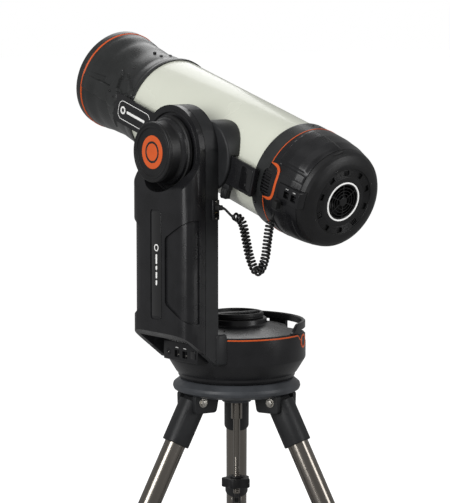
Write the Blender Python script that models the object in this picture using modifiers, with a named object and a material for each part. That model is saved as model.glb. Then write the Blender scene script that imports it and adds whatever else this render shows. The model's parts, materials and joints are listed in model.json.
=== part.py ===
"""A smart Schmidt astrograph on a single-arm altazimuth mount and a folding steel tripod.

Metres, +Z up, floor at z = 0. The tube heads along +Y, tilted up by TUBE_TILT, the altitude axis
lies along X and the arm stands on the -X side. Everything hangs on the empty mount_axis, which
stands on the azimuth axis.
"""

import math

import bmesh
import bpy
from mathutils import Matrix, Vector

# driving dimensions
AXIS_X = 0.066  # azimuth axis, from the middle of the object's outline on the floor
AXIS_Y = -0.008
HEAD_Z = 0.590  # widest circle of the tripod head
HEAD_R = 0.114
BASE_Z = 0.6055  # underside of the turning base
DRUM_R = 0.123
DRUM_TOP_Z = 0.6875
KNOB_TOP_Z = 0.722
ALT_Z = 1.013  # altitude axis
TUBE_TILT = math.radians(16.6)
TUBE_R = 0.091
TUBE_SHIFT_X = 0.006  # tube axis, from the azimuth axis
TUBE_SHIFT_Z = 0.004
ARM_INNER_X = -0.107
ARM_SPLIT_X = -0.135  # joint between the arm's frame and its outer shell
ARM_OUTER_X = -0.180
ARM_HALF_WIDTH = 0.080
LEG_SPLAY = math.radians(27.0)
LEG_FIRST_AZIMUTH = math.radians(50.5)
LEG_PIVOT_R = 0.087
LEG_PIVOT_Z = 0.569
LEG_TUBE_R = 0.01905
LOWER_TUBE_R = 0.0160
BRACE_DROP = 0.230  # along a leg, from its pivot to the brace's pivot
BRACE_OFFSET = 0.040  # from a leg's axis to the brace's pivot
BRACE_HUB_R = 0.030
BRACE_ANGLE = math.radians(18.0)
PORT_X = -0.1335  # face of the socket panel under the arm
PORT_TOP_Z = 0.680
BUTTON_Z = 0.6745  # power button, on the drum
BUTTON_R = 0.0080
BUTTON_TURN = (0, math.pi / 2, math.radians(-57))  # turns local Z to the button's way out
DECK_Z = 0.7118  # raised middle of the deck
GEAR_TEETH = 26
GEAR_TIP_R = 0.0450
GEAR_ROOT_R = 0.0412
WORM_R = 0.0070
WORM_DISTANCE = GEAR_TIP_R + 0.0075  # from a wheel's axis to its worm's
AZIMUTH_GEAR_Z = 0.6630
ALTITUDE_GEAR_X = -0.1270
KNOB_BACK_X = -0.1476  # altitude knob's back, against the arm's head
TUBE_REAR = -0.1560  # stations along the tube's axis, from below the altitude axis
TUBE_FRONT = 0.2120
RING_REAR = -0.1860
SHELL_REAR = -0.2650
CELL_FRONT = 0.3640
BAR_X = -0.1000  # dovetail bar's outer face
BAR_LOW = -0.0236
BAR_HIGH = 0.0266

GAP = 0.0003  # between pieces that touch
FINE = 40  # sides of a large round piece
MEDIUM = 28
SMALL = 16

BLACK = ("black_plastic", (0.020, 0.021, 0.022), 0.42, 0.0)
GREY = ("grey_casting", (0.045, 0.047, 0.050), 0.38, 0.4)
CREAM = ("cream_paint", (0.72, 0.74, 0.67), 0.30, 0.0)
STEEL = ("brushed_steel", (0.62, 0.60, 0.56), 0.28, 1.0)
RUBBER = ("black_rubber", (0.015, 0.015, 0.016), 0.75, 0.0)
GLASS = ("coated_glass", (0.30, 0.36, 0.42), 0.05, 0.0)
MIRROR = ("mirror_coat", (0.90, 0.90, 0.92), 0.03, 1.0)
BRASS = ("brass", (0.75, 0.55, 0.25), 0.30, 1.0)
WHITE = ("white_lens", (0.92, 0.92, 0.90), 0.25, 0.0)


# ---- scene and modelling helpers


def clear_scene():
    for obj in list(bpy.data.objects):
        bpy.data.objects.remove(obj, do_unlink=True)
    for collection in list(bpy.data.collections):
        bpy.data.collections.remove(collection)


def new_collection(name):
    collection = bpy.data.collections.new(name)
    bpy.context.scene.collection.children.link(collection)
    return collection


clear_scene()
PARTS = new_collection("schmidt_telescope")
CUTTERS = new_collection("cutters")


def get_material(spec):
    name, color, roughness, metallic = spec
    material = bpy.data.materials.get(name)
    if material is None:
        material = bpy.data.materials.new(name)
        material.use_nodes = True
        shader = material.node_tree.nodes["Principled BSDF"]
        shader.inputs["Base Color"].default_value = (*color, 1.0)
        shader.inputs["Roughness"].default_value = roughness
        shader.inputs["Metallic"].default_value = metallic
    return material


def empty(name, location=(0, 0, 0), rotation=(0, 0, 0), parent=None):
    obj = bpy.data.objects.new(name, None)
    obj.parent = parent
    obj.location = location
    obj.rotation_euler = rotation
    PARTS.objects.link(obj)
    return obj


def add_object(name, mesh, finish, parent, location=(0, 0, 0), rotation=(0, 0, 0)):
    """A named part; without a finish it is a cutter or a piece to be joined to a part."""
    obj = bpy.data.objects.new(name, mesh)
    obj.parent = parent
    obj.location = location
    obj.rotation_euler = rotation
    if finish is None:
        CUTTERS.objects.link(obj)
        obj.hide_render = True
        obj.display_type = "WIRE"
    else:
        PARTS.objects.link(obj)
        mesh.materials.clear()
        mesh.materials.append(get_material(finish))
    return obj


def lathe(name, profile, finish, parent, sides=MEDIUM, ring=False, location=(0, 0, 0), rotation=(0, 0, 0)):
    """Turns (radius, height) points round Z, run down the outer side and, on a ring, up the inner side."""
    mesh = bpy.data.meshes.new(name)
    points = [(radius, 0.0, height) for radius, height in profile]
    edges = [(i, i + 1) for i in range(len(points) - 1)]
    if ring:
        edges.append((len(points) - 1, 0))
    mesh.from_pydata(points, edges, [])
    obj = add_object(name, mesh, finish, parent, location, rotation)
    screw = obj.modifiers.new("turn", "SCREW")
    screw.steps = sides
    screw.render_steps = sides
    screw.use_merge_vertices = True
    screw.merge_threshold = 0.00002
    screw.use_smooth_shade = True
    return obj


def rod(name, radius, low, high, finish, parent, sides=SMALL, location=(0, 0, 0), rotation=(0, 0, 0)):
    profile = [(0, high), (radius, high), (radius, low), (0, low)]
    return lathe(name, profile, finish, parent, sides, False, location, rotation)


def pipe(name, outer, inner, low, high, finish, parent, sides=MEDIUM, location=(0, 0, 0), rotation=(0, 0, 0)):
    profile = [(inner, high), (outer, high), (outer, low), (inner, low)]
    return lathe(name, profile, finish, parent, sides, True, location, rotation)


def box(name, low, high, finish, parent, bevel=0.0, location=(0, 0, 0), rotation=(0, 0, 0)):
    """A block between two corners, with its edges chamfered by bevel."""
    low = Vector(low)
    high = Vector(high)
    mesh = bpy.data.meshes.new(name)
    shape = bmesh.new()
    bmesh.ops.create_cube(shape, size=1.0)
    place = Matrix.Translation((low + high) / 2) @ Matrix.Diagonal((*(high - low), 1.0))
    bmesh.ops.transform(shape, matrix=place, verts=shape.verts)
    shape.to_mesh(mesh)
    shape.free()
    obj = add_object(name, mesh, finish, parent, location, rotation)
    if bevel:
        round_edges = obj.modifiers.new("edges", "BEVEL")
        round_edges.width = bevel
        round_edges.segments = 1
    return obj


def prism(name, outlines, low, high, finish, parent, location=(0, 0, 0), rotation=(0, 0, 0)):
    """Flat outlines in local XY, an edge and then any holes, raised from low to high along local Z."""
    curve = bpy.data.curves.new(name, "CURVE")
    curve.dimensions = "2D"
    curve.fill_mode = "BOTH"
    curve.extrude = (high - low) / 2
    for outline in outlines:
        spline = curve.splines.new("POLY")
        spline.points.add(len(outline) - 1)
        for point, (x, y) in zip(spline.points, outline):
            point.co = (x, y, 0, 1)
        spline.use_cyclic_u = True
    middle = Matrix.Translation((0, 0, (low + high) / 2))
    return mesh_from_curve(name, curve, middle, finish, parent, location, rotation)


def mesh_from_curve(name, curve, place, finish, parent, location=(0, 0, 0), rotation=(0, 0, 0)):
    holder = bpy.data.objects.new(name, curve)
    bpy.context.scene.collection.objects.link(holder)
    evaluated = holder.evaluated_get(bpy.context.evaluated_depsgraph_get())
    mesh = bpy.data.meshes.new_from_object(evaluated)
    bpy.data.objects.remove(holder, do_unlink=True)
    shape = bmesh.new()
    shape.from_mesh(mesh)
    bmesh.ops.remove_doubles(shape, verts=shape.verts, dist=0.00001)
    bmesh.ops.transform(shape, matrix=place, verts=shape.verts)
    shape.to_mesh(mesh)
    shape.free()
    return add_object(name, mesh, finish, parent, location, rotation)


def boolean(target, other, operation):
    modifier = target.modifiers.new(f"{operation.lower()}_{other.name}", "BOOLEAN")
    modifier.object = other
    modifier.operation = operation
    modifier.solver = "EXACT"
    return target


def cut(target, *others):
    for other in others:
        boolean(target, other, "DIFFERENCE")
    return target


def join(target, *others):
    for other in others:
        boolean(target, other, "UNION")
    return target


def arc(centre, radius, start_deg, end_deg, count):
    """count + 1 points on an arc, in degrees from the first axis."""
    points = []
    for i in range(count + 1):
        angle = math.radians(start_deg + (end_deg - start_deg) * i / count)
        points.append((centre[0] + radius * math.cos(angle), centre[1] + radius * math.sin(angle)))
    return points


def toothed(teeth, tip_r, root_r):
    """Outline of a gear with plain trapezium teeth."""
    outline = []
    for i in range(teeth):
        for share, radius in ((0.00, root_r), (0.22, root_r), (0.40, tip_r), (0.78, tip_r)):
            angle = 2 * math.pi * (i + share) / teeth
            outline.append((radius * math.cos(angle), radius * math.sin(angle)))
    return outline


def lobed(lobes, radius, depth, count=48):
    """Outline of a hand knob with rounded lobes."""
    outline = []
    for i in range(count):
        angle = 2 * math.pi * i / count
        reach = radius - depth * (0.5 - 0.5 * math.cos(lobes * angle))
        outline.append((reach * math.cos(angle), reach * math.sin(angle)))
    return outline


def rounded_rectangle(half_x, half_y, radius, count=4):
    outline = []
    for turn, (sign_x, sign_y) in enumerate(((1, 1), (-1, 1), (-1, -1), (1, -1))):
        centre = (sign_x * (half_x - radius), sign_y * (half_y - radius))
        outline += arc(centre, radius, 90 * turn, 90 * turn + 90, count)
    return outline


TO_X = (0, math.pi / 2, 0)  # turns local Z to +X
TO_Y = (-math.pi / 2, 0, 0)  # turns local Z to +Y
YZ_PLANE = (math.pi / 2, 0, math.pi / 2)  # an outline's x, y become Y, Z
XZ_PLANE = (math.pi / 2, 0, 0)  # an outline's x, y become X, Z, raised towards -Y

mount = empty("mount_axis", (AXIS_X, AXIS_Y, 0))
altitude = empty("altitude_axis", (0, 0, ALT_Z), (TUBE_TILT, 0, 0), mount)
tube_axis = empty("tube_axis", (TUBE_SHIFT_X, 0, TUBE_SHIFT_Z), TO_Y, altitude)


# ---- tripod


def tripod_head():
    head_top = BASE_Z - 0.001
    profile = [
        (0.0075, head_top),
        (0.101, head_top),
        (0.113, HEAD_Z + 0.005),
        (HEAD_R, HEAD_Z),
        (0.112, HEAD_Z - 0.005),
        (0.098, HEAD_Z - 0.012),
        (0.030, HEAD_Z - 0.012),
        (0.026, HEAD_Z - 0.030),
        (0.0075, HEAD_Z - 0.030),
    ]
    head = lathe("tripod_head", profile, GREY, mount, FINE, ring=True)
    for i in range(3):
        azimuth = LEG_FIRST_AZIMUTH + i * math.radians(120)
        for side in (-1, 1):
            ear = box(
                f"head_ear_{i}_{side}",
                (0.062, side * 0.0285 - 0.0055, HEAD_Z - 0.040),
                (0.103, side * 0.0285 + 0.0055, HEAD_Z - 0.008),
                None,
                mount,
                rotation=(0, 0, azimuth),
            )
            join(head, ear)
        hollow = box(
            f"head_slot_{i}",
            (0.060, -0.0230, HEAD_Z - 0.050),
            (0.125, 0.0230, HEAD_Z - 0.0070),
            None,
            mount,
            rotation=(0, 0, azimuth),
        )
        cut(head, hollow)


def tripod_centre():
    rod_r = 0.0060
    bolt = rod("center_rod", rod_r, 0.392, BASE_Z - 0.004, STEEL, mount)
    join(bolt, rod("rod_collar", 0.0098, HEAD_Z - 0.062, HEAD_Z - 0.031, None, mount))
    outlines = [lobed(5, 0.027, 0.006, 40), arc((0, 0), rod_r + GAP, 0, 352, 14)]
    prism("rod_knob", outlines, 0.404, 0.421, BLACK, mount)


def brace_geometry():
    """Radius and height of a leg's brace pivot, and the hub pivot's height."""
    along = Vector((math.sin(LEG_SPLAY), -math.cos(LEG_SPLAY)))
    inward = Vector((-math.cos(LEG_SPLAY), -math.sin(LEG_SPLAY)))
    outer = Vector((LEG_PIVOT_R, LEG_PIVOT_Z)) + BRACE_DROP * along + BRACE_OFFSET * inward
    hub_z = outer.y - (outer.x - BRACE_HUB_R) * math.tan(BRACE_ANGLE)
    return outer, hub_z


def brace_hub(hub_z):
    profile = [
        (0.0080, hub_z + 0.009),
        (0.0200, hub_z + 0.009),
        (0.0200, hub_z - 0.009),
        (0.0080, hub_z - 0.009),
    ]
    hub = lathe("brace_hub", profile, BLACK, mount, SMALL, ring=True)
    for i in range(3):
        azimuth = LEG_FIRST_AZIMUTH + i * math.radians(120)
        for side in (-1, 1):
            lug = box(
                f"hub_lug_{i}_{side}",
                (0.014, side * 0.0080 - 0.0022, hub_z - 0.0065),
                (BRACE_HUB_R + 0.006, side * 0.0080 + 0.0022, hub_z + 0.0065),
                None,
                mount,
                rotation=(0, 0, azimuth),
            )
            join(hub, lug)


def leg(index, outer, hub_z):
    """One leg in its own frame: Z up along the leg, Y outward, the hinge along X through the origin."""
    azimuth = LEG_FIRST_AZIMUTH + (index - 1) * math.radians(120)
    pivot = (LEG_PIVOT_R * math.cos(azimuth), LEG_PIVOT_R * math.sin(azimuth), LEG_PIVOT_Z)
    frame = empty(f"leg_{index}_axis", pivot, (LEG_SPLAY, 0, azimuth - math.pi / 2), mount)
    foot_along = LEG_PIVOT_Z / math.cos(LEG_SPLAY)
    foot_r = LEG_PIVOT_R + LEG_PIVOT_Z * math.tan(LEG_SPLAY)
    clamp_z = -0.375

    cap = prism(f"leg_cap_{index}", [rounded_rectangle(0.0225, 0.0235, 0.009)], -0.096, -0.016, BLACK, frame)
    tongue = prism(
        f"leg_tongue_{index}",
        [arc((0, 0), 0.0120, 0, 180, 8) + [(-0.0170, -0.030), (0.0170, -0.030)]],
        -0.0200,
        0.0200,
        None,
        frame,
        rotation=YZ_PLANE,
    )
    join(cap, tongue)
    cut(cap, rod(f"cap_bore_{index}", LEG_TUBE_R + GAP, -0.110, -0.035, None, frame, MEDIUM))

    tube = pipe(f"leg_tube_{index}", LEG_TUBE_R, 0.0173, -0.392, -0.036, STEEL, frame, MEDIUM)
    collar = pipe(f"leg_collar_{index}", 0.0245, 0.0180, clamp_z - 0.023, clamp_z + 0.023, None, frame, MEDIUM)
    boss_low = (-0.011, 0.0205, clamp_z - 0.011)
    boss = box(f"collar_boss_{index}", boss_low, (0.011, 0.0335, clamp_z + 0.011), None, frame)
    lug = box(
        f"brace_lug_{index}",
        (-0.0042, -BRACE_OFFSET - 0.005, -BRACE_DROP - 0.006),
        (0.0042, -0.0178, -BRACE_DROP + 0.006),
        None,
        frame,
    )
    join(tube, collar, boss, lug)

    bottom = -foot_along + 0.010
    lower = pipe(f"lower_leg_{index}", LOWER_TUBE_R, 0.0145, bottom, -0.060, STEEL, frame, SMALL)
    shoe = lathe(
        f"leg_shoe_{index}",
        [(0, 0.030), (0.0170, 0.030), (0.021, 0.016), (0.022, 0.003), (0.020, 0.0), (0, 0.0)],
        None,
        mount,
        SMALL,
        location=(foot_r * math.cos(azimuth), foot_r * math.sin(azimuth), 0),
    )
    join(lower, shoe)

    prism(
        f"clamp_knob_{index}",
        [lobed(6, 0.0155, 0.003, 36)],
        0.0340,
        0.0480,
        BLACK,
        frame,
        location=(0, 0, clamp_z),
        rotation=TO_Y,
    )
    brace_link(index, azimuth, outer, hub_z)


def brace_link(index, azimuth, outer, hub_z):
    """A flat bar from the hub, between its lugs, to the fork over the leg's lug."""
    reach = (outer.x - BRACE_HUB_R) / math.cos(BRACE_ANGLE)
    place = (BRACE_HUB_R * math.cos(azimuth), BRACE_HUB_R * math.sin(azimuth), hub_z)
    frame = empty(f"brace_link_{index}_axis", place, (0, -BRACE_ANGLE, azimuth), mount)
    bar = arc((0, 0), 0.005, 90, 270, 6) + arc((reach, 0), 0.005, -90, 90, 6)
    link = prism(f"brace_link_{index}", [bar], -0.0054, 0.0054, BLACK, frame, rotation=XZ_PLANE)
    fork_high = (reach + 0.004, 0.0078, 0.0048)
    join(link, box(f"link_fork_{index}", (reach - 0.040, -0.0078, -0.0048), fork_high, None, frame))
    slot_high = (reach + 0.020, 0.0046, 0.0200)
    cut(link, box(f"link_slot_{index}", (reach - 0.030, -0.0046, -0.0200), slot_high, None, frame))


# ---- turning base


def base():
    wall = 0.0035
    bottom_r = 0.100
    hole_r = 0.030
    profile = [
        (DRUM_R - 0.0010, DRUM_TOP_Z),
        (DRUM_R, DRUM_TOP_Z - 0.0010),
        (DRUM_R, 0.6430),
        (0.1215, 0.6395),
        (0.1080, 0.6180),
        (0.1040, 0.6130),
        (bottom_r, BASE_Z),
        (hole_r, BASE_Z),
        (hole_r, BASE_Z + 0.006),
        (bottom_r - 0.004, BASE_Z + 0.006),
        (DRUM_R - wall, 0.6440),
        (DRUM_R - wall, DRUM_TOP_Z),
    ]
    housing = lathe("base_housing", profile, BLACK, mount, FINE, ring=True)
    place = (0, 0, BUTTON_Z)
    cut(housing, rod("button_hole", BUTTON_R + GAP, 0.105, 0.135, None, mount, SMALL, place, BUTTON_TURN))
    rod("power_button", BUTTON_R, 0.1150, 0.1240, BLACK, mount, SMALL, place, BUTTON_TURN)
    box("battery_pack", (0.038, -0.045, 0.6125), (0.085, 0.045, 0.6380), BLACK, mount, 0.003)


def deck():
    """The deck over the drum, and the knob on its raised middle."""

    deck_low = DRUM_TOP_Z + GAP
    deck_profile = [
        (0.0175, DECK_Z),
        (0.0530, DECK_Z),
        (0.0540, DECK_Z - 0.0010),
        (0.0540, 0.7010),
        (0.0620, 0.6990),
        (DRUM_R - 0.0035, deck_low + 0.0030),
        (DRUM_R - 0.0010, deck_low),
        (DRUM_R - 0.0060, deck_low),
        (0.0600, 0.6950),
        (0.0480, 0.7070),
        (0.0175, 0.7070),
    ]
    lathe("base_deck", deck_profile, GREY, mount, FINE, ring=True)

    azimuth_knob = lathe(
        "azimuth_knob",
        [
            (0, 0.7170),
            (0.0410, 0.7170),
            (0.0430, KNOB_TOP_Z - 0.0005),
            (0.0465, KNOB_TOP_Z),
            (0.0480, KNOB_TOP_Z - 0.0015),
            (0.0480, 0.7130),
            (0.0470, DECK_Z + GAP),
            (0, DECK_Z + GAP),
        ],
        BLACK,
        mount,
        MEDIUM,
    )
    bar = box("azimuth_knob_bar", (-0.0415, -0.0060, 0.7165), (0.0415, 0.0060, 0.7205), None, mount)
    join(azimuth_knob, bar)


def ring_handle():
    """A band over the far half of the deck, with two finger windows."""
    low = DRUM_TOP_Z + 0.0045
    top = 0.7075
    outer_r = DRUM_R - 0.0008
    inner_r = outer_r - 0.0060
    outline = arc((0, 0), outer_r, -72, 72, 36) + arc((0, 0), inner_r, 72, -72, 36)
    handle = prism("ring_handle", [outline], low, top, BLACK, mount)
    for start, end in ((-57, -31), (-23, 3), (11, 37), (43, 65)):
        sector = arc((0, 0), 0.140, start, end, 4) + arc((0, 0), 0.100, end, start, 4)
        cut(handle, prism(f"ring_window_{start}", [sector], low + 0.0035, top - 0.0050, None, mount))


def azimuth_drive():
    rod("azimuth_post", 0.0160, BASE_Z + GAP, 0.7060, STEEL, mount, MEDIUM)
    gear("azimuth_gear", 0.0164, mount, (0, 0, AZIMUTH_GEAR_Z), (0, 0, 0))
    worm("azimuth_worm", mount, (-WORM_DISTANCE, 0, AZIMUTH_GEAR_Z), TO_Y)


def gear(name, bore_r, parent, location, rotation):
    outlines = [toothed(GEAR_TEETH, GEAR_TIP_R, GEAR_ROOT_R), arc((0, 0), bore_r, 0, 345, 23)]
    return prism(name, outlines, -0.0050, 0.0050, BRASS, parent, location, rotation)


def worm(name, parent, location, rotation):
    """A shaft with thread grooves, running clear of its wheel's tips."""
    half_length = 0.030
    end_r = 0.0035
    root_r = 0.0050
    profile = [(0, half_length), (end_r, half_length)]
    for i in range(6):
        height = 0.0135 - 0.0045 * i
        profile += [(root_r, height), (WORM_R, height - 0.0012), (WORM_R, height - 0.0030)]
    profile += [(root_r, -0.0140), (end_r, -0.0150), (end_r, -half_length), (0, -half_length)]
    return lathe(name, profile, STEEL, parent, 10, False, location, rotation)


def port_panel():
    panel = box("port_panel", (PORT_X, -0.0560, 0.6460), (-0.0900, 0.0400, PORT_TOP_Z), BLACK, mount)
    cut(panel, rod("drum_space", DRUM_R + GAP, 0.6, 0.72, None, mount, FINE))
    for i, y in enumerate((0.0020, -0.0200)):
        low = (PORT_X - 0.01, y - 0.0065, 0.6525)
        high = (PORT_X + 0.0065, y + 0.0065, 0.6650)
        cut(panel, box(f"base_socket_{i}", low, high, None, mount))


# ---- arm


def arm_plan(inner_x, outer_x, power=5.0, count=20):
    """Plan of the arm's outer shell: half of a rounded rectangle that follows a superellipse."""
    outline = []
    for i in range(count + 1):
        angle = math.pi * i / count - math.pi / 2
        across = math.copysign(abs(math.sin(angle)) ** (2 / power), math.sin(angle))
        out = abs(math.cos(angle)) ** (2 / power)
        outline.append((inner_x - (inner_x - outer_x) * out, ARM_HALF_WIDTH * across))
    return outline


def arm_side(half_width, low, count):
    """Side outline of the arm, round at the head."""
    return arc((0, ALT_Z), half_width, 0, 180, count) + [(-half_width, low), (half_width, low)]


def arm():
    cavity = prism(
        "arm_cavity",
        [arm_side(0.0690, 0.705, 18)],
        -0.1420,
        -0.1120,
        None,
        mount,
        rotation=YZ_PLANE,
    )
    deep_cavity = box("arm_deep_cavity", (-0.166, -0.066, 0.600), (-0.1340, 0.066, 0.925), None, mount)
    drum_space = rod("arm_drum_space", DRUM_R + GAP, 0.55, 0.7115, None, mount, FINE)
    port_space = box("arm_port_space", (-0.166, -0.066, 0.60), (-0.100, 0.066, 0.695), None, mount)
    under = box(
        "arm_under",
        (-0.20, -0.15, -0.10),
        (0.10, 0.15, 0.0),
        None,
        mount,
        location=(ARM_INNER_X, 0, 0.643),
        rotation=(0, math.radians(38.5), 0),
    )
    shaft_hole = rod("arm_shaft_hole", 0.0185, -0.20, -0.09, None, mount, MEDIUM, (0, 0, ALT_Z), TO_X)

    side = [arm_side(ARM_HALF_WIDTH, 0.62, 28)]
    frame = prism("arm_frame", side, ARM_SPLIT_X, ARM_INNER_X, GREY, mount, rotation=YZ_PLANE)
    cut(frame, cavity, drum_space, port_space, under, shaft_hole)

    shell = prism("arm_shell", [arm_plan(ARM_SPLIT_X - GAP, ARM_OUTER_X)], 0.61, 1.15, BLACK, mount)
    outline = prism("shell_side", side, -0.25, -0.05, None, mount, rotation=YZ_PLANE)
    boolean(shell, outline, "INTERSECT")
    head_face = KNOB_BACK_X + 0.0010
    shoulder_z = ALT_Z - 0.075
    brow_top = 1.2
    above = [
        (-0.30, shoulder_z),
        (ARM_OUTER_X, shoulder_z),
        (head_face, ALT_Z - 0.012),
        (head_face, brow_top),
        (-0.30, brow_top),
    ]
    brow = prism("shell_brow", [above], -0.15, 0.15, None, mount, rotation=XZ_PLANE)
    pocket = rod("knob_pocket", 0.0680, -0.20, head_face - 0.0006, None, mount, FINE, (0, 0, ALT_Z), TO_X)
    cut(shell, cavity, deep_cavity, under, brow, pocket)
    for side in (-1, 1):
        plan = [(-0.21, 0.0260), (-0.1725, 0.0260), (-0.1520, 0.0805), (-0.1520, 0.11), (-0.21, 0.11)]
        panel = prism(f"side_panel_{side}", [[(x, side * y) for x, y in plan]], 0.748, 0.874, None, mount)
        cut(shell, panel)
    cut(shell, box("spine_inset", (-0.20, -0.0160, 0.7250), (-0.1785, 0.0160, 0.9130), None, mount))
    grip = box("grip_slot", (-0.1440, 0.0705, 0.7400), (-0.1362, 0.0900, 0.8520), None, mount)
    cut(shell, grip, shaft_hole)

    socket = box("arm_socket", (-0.1230, -0.0855, 0.8980), (-0.1080, -0.0803, 0.9330), BLACK, mount)
    cut(socket, box("arm_socket_hole", (-0.1190, -0.0900, 0.9040), (-0.1110, -0.0811, 0.9120), None, mount))


def altitude_knob():
    profile = [
        (0, KNOB_BACK_X),
        (0.0610, KNOB_BACK_X),
        (0.0620, KNOB_BACK_X - 0.0010),
        (0.0620, -0.1540),
        (0.0550, -0.1590),
        (0.0550, -0.1640),
        (0.0500, -0.1660),
        (0.0500, -0.1845),
        (0.0485, -0.1860),
        (0.0400, -0.1860),
        (0.0385, -0.1835),
        (0, -0.1835),
    ]
    lathe("altitude_knob", profile, BLACK, mount, FINE, False, (0, 0, ALT_Z), TO_X)


def altitude_drive():
    """The shaft and its wheel turn with the tube; the worm lies under the wheel."""
    profile = [
        (0, ARM_INNER_X + GAP),
        (0.0180, ARM_INNER_X + GAP),
        (0.0180, -0.1180),
        (0.0140, -0.1185),
        (0.0140, -0.1440),
        (0, -0.1440),
    ]
    lathe("altitude_shaft", profile, STEEL, mount, SMALL, False, (0, 0, ALT_Z), TO_X)
    gear("altitude_gear", 0.0144, mount, (ALTITUDE_GEAR_X, 0, ALT_Z), TO_X)
    worm("altitude_worm", mount, (ALTITUDE_GEAR_X, 0, ALT_Z - WORM_DISTANCE), TO_Y)


# ---- tube assembly


def saddle():
    """The disc on the altitude shaft, with a jaw above the dovetail bar and a moving jaw below it."""
    tube_space = rod("saddle_tube_space", TUBE_R + 0.0012, -0.3, 0.3, None, tube_axis, FINE)
    low = BAR_LOW - 0.0004
    face = BAR_X - 0.0004
    bar_space = box("saddle_bar_space", (face, -0.20, low), (0, 0.20, BAR_HIGH + 0.0004), None, altitude)
    jaw_space = box("saddle_jaw_space", (face, -0.20, -0.20), (0, 0.20, 0), None, altitude)
    disc = rod("saddle", 0.0840, ARM_INNER_X + 0.0004, -0.0660, BLACK, altitude, FINE, rotation=TO_X)
    cut(disc, tube_space, bar_space, jaw_space)

    jaw_low = -0.0343
    jaw = box("saddle_jaw", (BAR_X, -0.112, jaw_low), (-0.0895, 0.040, BAR_LOW - 0.0007), BLACK, altitude)
    cut(jaw, tube_space)
    place = (-0.0900, -0.096, 0)
    prism("jaw_knob", [lobed(6, 0.0093, 0.0015, 30)], -0.0530, jaw_low - GAP, BLACK, altitude, place)
    box("dovetail_bar", (BAR_X, -0.170, BAR_LOW), (-0.0900, 0.236, BAR_HIGH), BLACK, altitude, 0.002)


def tube_body():
    pipe("main_tube", TUBE_R, TUBE_R - 0.0020, TUBE_REAR, TUBE_FRONT, CREAM, tube_axis, FINE)
    front = [
        (0.0790, CELL_FRONT),
        (0.0920, CELL_FRONT),
        (0.0915, 0.3520),
        (0.0870, 0.3200),
        (0.0850, 0.2800),
        (0.0870, 0.2400),
        (0.0915, 0.2160),
        (0.0935, 0.2120),
        (0.0935, 0.2050),
        (TUBE_R + GAP, 0.2050),
        (TUBE_R + GAP, TUBE_FRONT + GAP),
        (0.0840, 0.2180),
        (0.0790, 0.2500),
    ]
    lathe("front_cell", front, BLACK, tube_axis, FINE, ring=True)
    pipe("front_ring", 0.0932, 0.0800, CELL_FRONT + GAP, 0.3810, BLACK, tube_axis, FINE)
    pipe("corrector_plate", 0.0785, 0.0425, 0.3000, 0.3060, GLASS, tube_axis, MEDIUM)

    rear_ring = [
        (TUBE_R + GAP, TUBE_REAR),
        (0.0948, TUBE_REAR),
        (0.0955, TUBE_REAR - 0.0010),
        (0.0955, RING_REAR),
        (0.0780, RING_REAR),
        (0.0780, TUBE_REAR - 0.0060),
        (TUBE_R + GAP, TUBE_REAR - 0.0060),
    ]
    ring = lathe("rear_ring", rear_ring, BLACK, tube_axis, FINE, ring=True)
    cut(ring, box("vent_seat", (-0.12, -0.2015, -0.0290), (-0.0850, -0.1760, 0.0290), None, altitude))


def rear():
    shell_profile = [
        (0.0925, RING_REAR - 0.0005),
        (0.0950, RING_REAR - 0.0010),
        (0.0955, -0.2000),
        (0.0950, -0.2200),
        (0.0920, -0.2450),
        (0.0870, SHELL_REAR),
        (0.0830, SHELL_REAR),
        (0.0880, -0.2440),
        (0.0915, -0.2180),
        (0.0915, RING_REAR - 0.0005),
    ]
    shell = lathe("rear_shell", shell_profile, BLACK, tube_axis, FINE, ring=True)
    port_seat = box("port_seat", (-0.12, -0.2780, -0.0065), (-0.0700, -0.2220, 0.0220), None, altitude)
    vent_seat = box("shell_vent_seat", (-0.12, -0.2015, -0.0290), (-0.0700, -0.1760, 0.0290), None, altitude)

    cut(shell, port_seat, vent_seat)

    cap_profile = [
        (0.0290, -0.2620),
        (0.0820, -0.2620),
        (0.0823, SHELL_REAR - 0.0005),
        (0.0868, SHELL_REAR - 0.0005),
        (0.0840, -0.2740),
        (0.0770, -0.2810),
        (0.0680, -0.2845),
        (0.0560, -0.2850),
        (0.0540, -0.2830),
        (0.0290, -0.2830),
    ]
    cap = lathe("rear_cap", cap_profile, BLACK, tube_axis, FINE, ring=True)
    cut(cap, port_seat)

    grille = box("vent_grille", (-0.0945, -0.2012, -0.0286), (-0.0852, -0.1763, 0.0286), BLACK, altitude, 0.002)
    for i in range(8):
        low = -0.0230 + i * 0.0060
        high = (-0.0875, -0.1815, low + 0.0030)
        cut(grille, box(f"vent_slot_{i}", (-0.12, -0.1960, low), high, None, altitude))

    ports = box("port_block", (-0.0900, -0.2777, -0.0062), (-0.0705, -0.2223, 0.0217), BLACK, altitude)
    for i, station in enumerate((-0.2450, -0.2640)):
        low = (-0.12, station - 0.0062, 0.0010)
        high = (-0.0800, station + 0.0062, 0.0130)
        cut(ports, box(f"tube_socket_{i}", low, high, None, altitude))
    pipe("light_ring", 0.0372, 0.0338, -0.2845, -0.2833, WHITE, tube_axis, MEDIUM)


def fan():
    wheel = rod("fan", 0.0110, -0.2800, -0.2680, BLACK, tube_axis, SMALL)
    blades = 7
    pitch = 0.6
    for i in range(blades):
        frame = empty(f"fan_blade_{i}_axis", (0, 0, -0.2740), (0, 0, 2 * math.pi * i / blades), tube_axis)
        low = (0.0085, -0.0065, -0.0008)
        join(wheel, box(f"fan_blade_{i}", low, (0.0275, 0.0065, 0.0008), None, frame, rotation=(pitch, 0, 0)))


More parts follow.
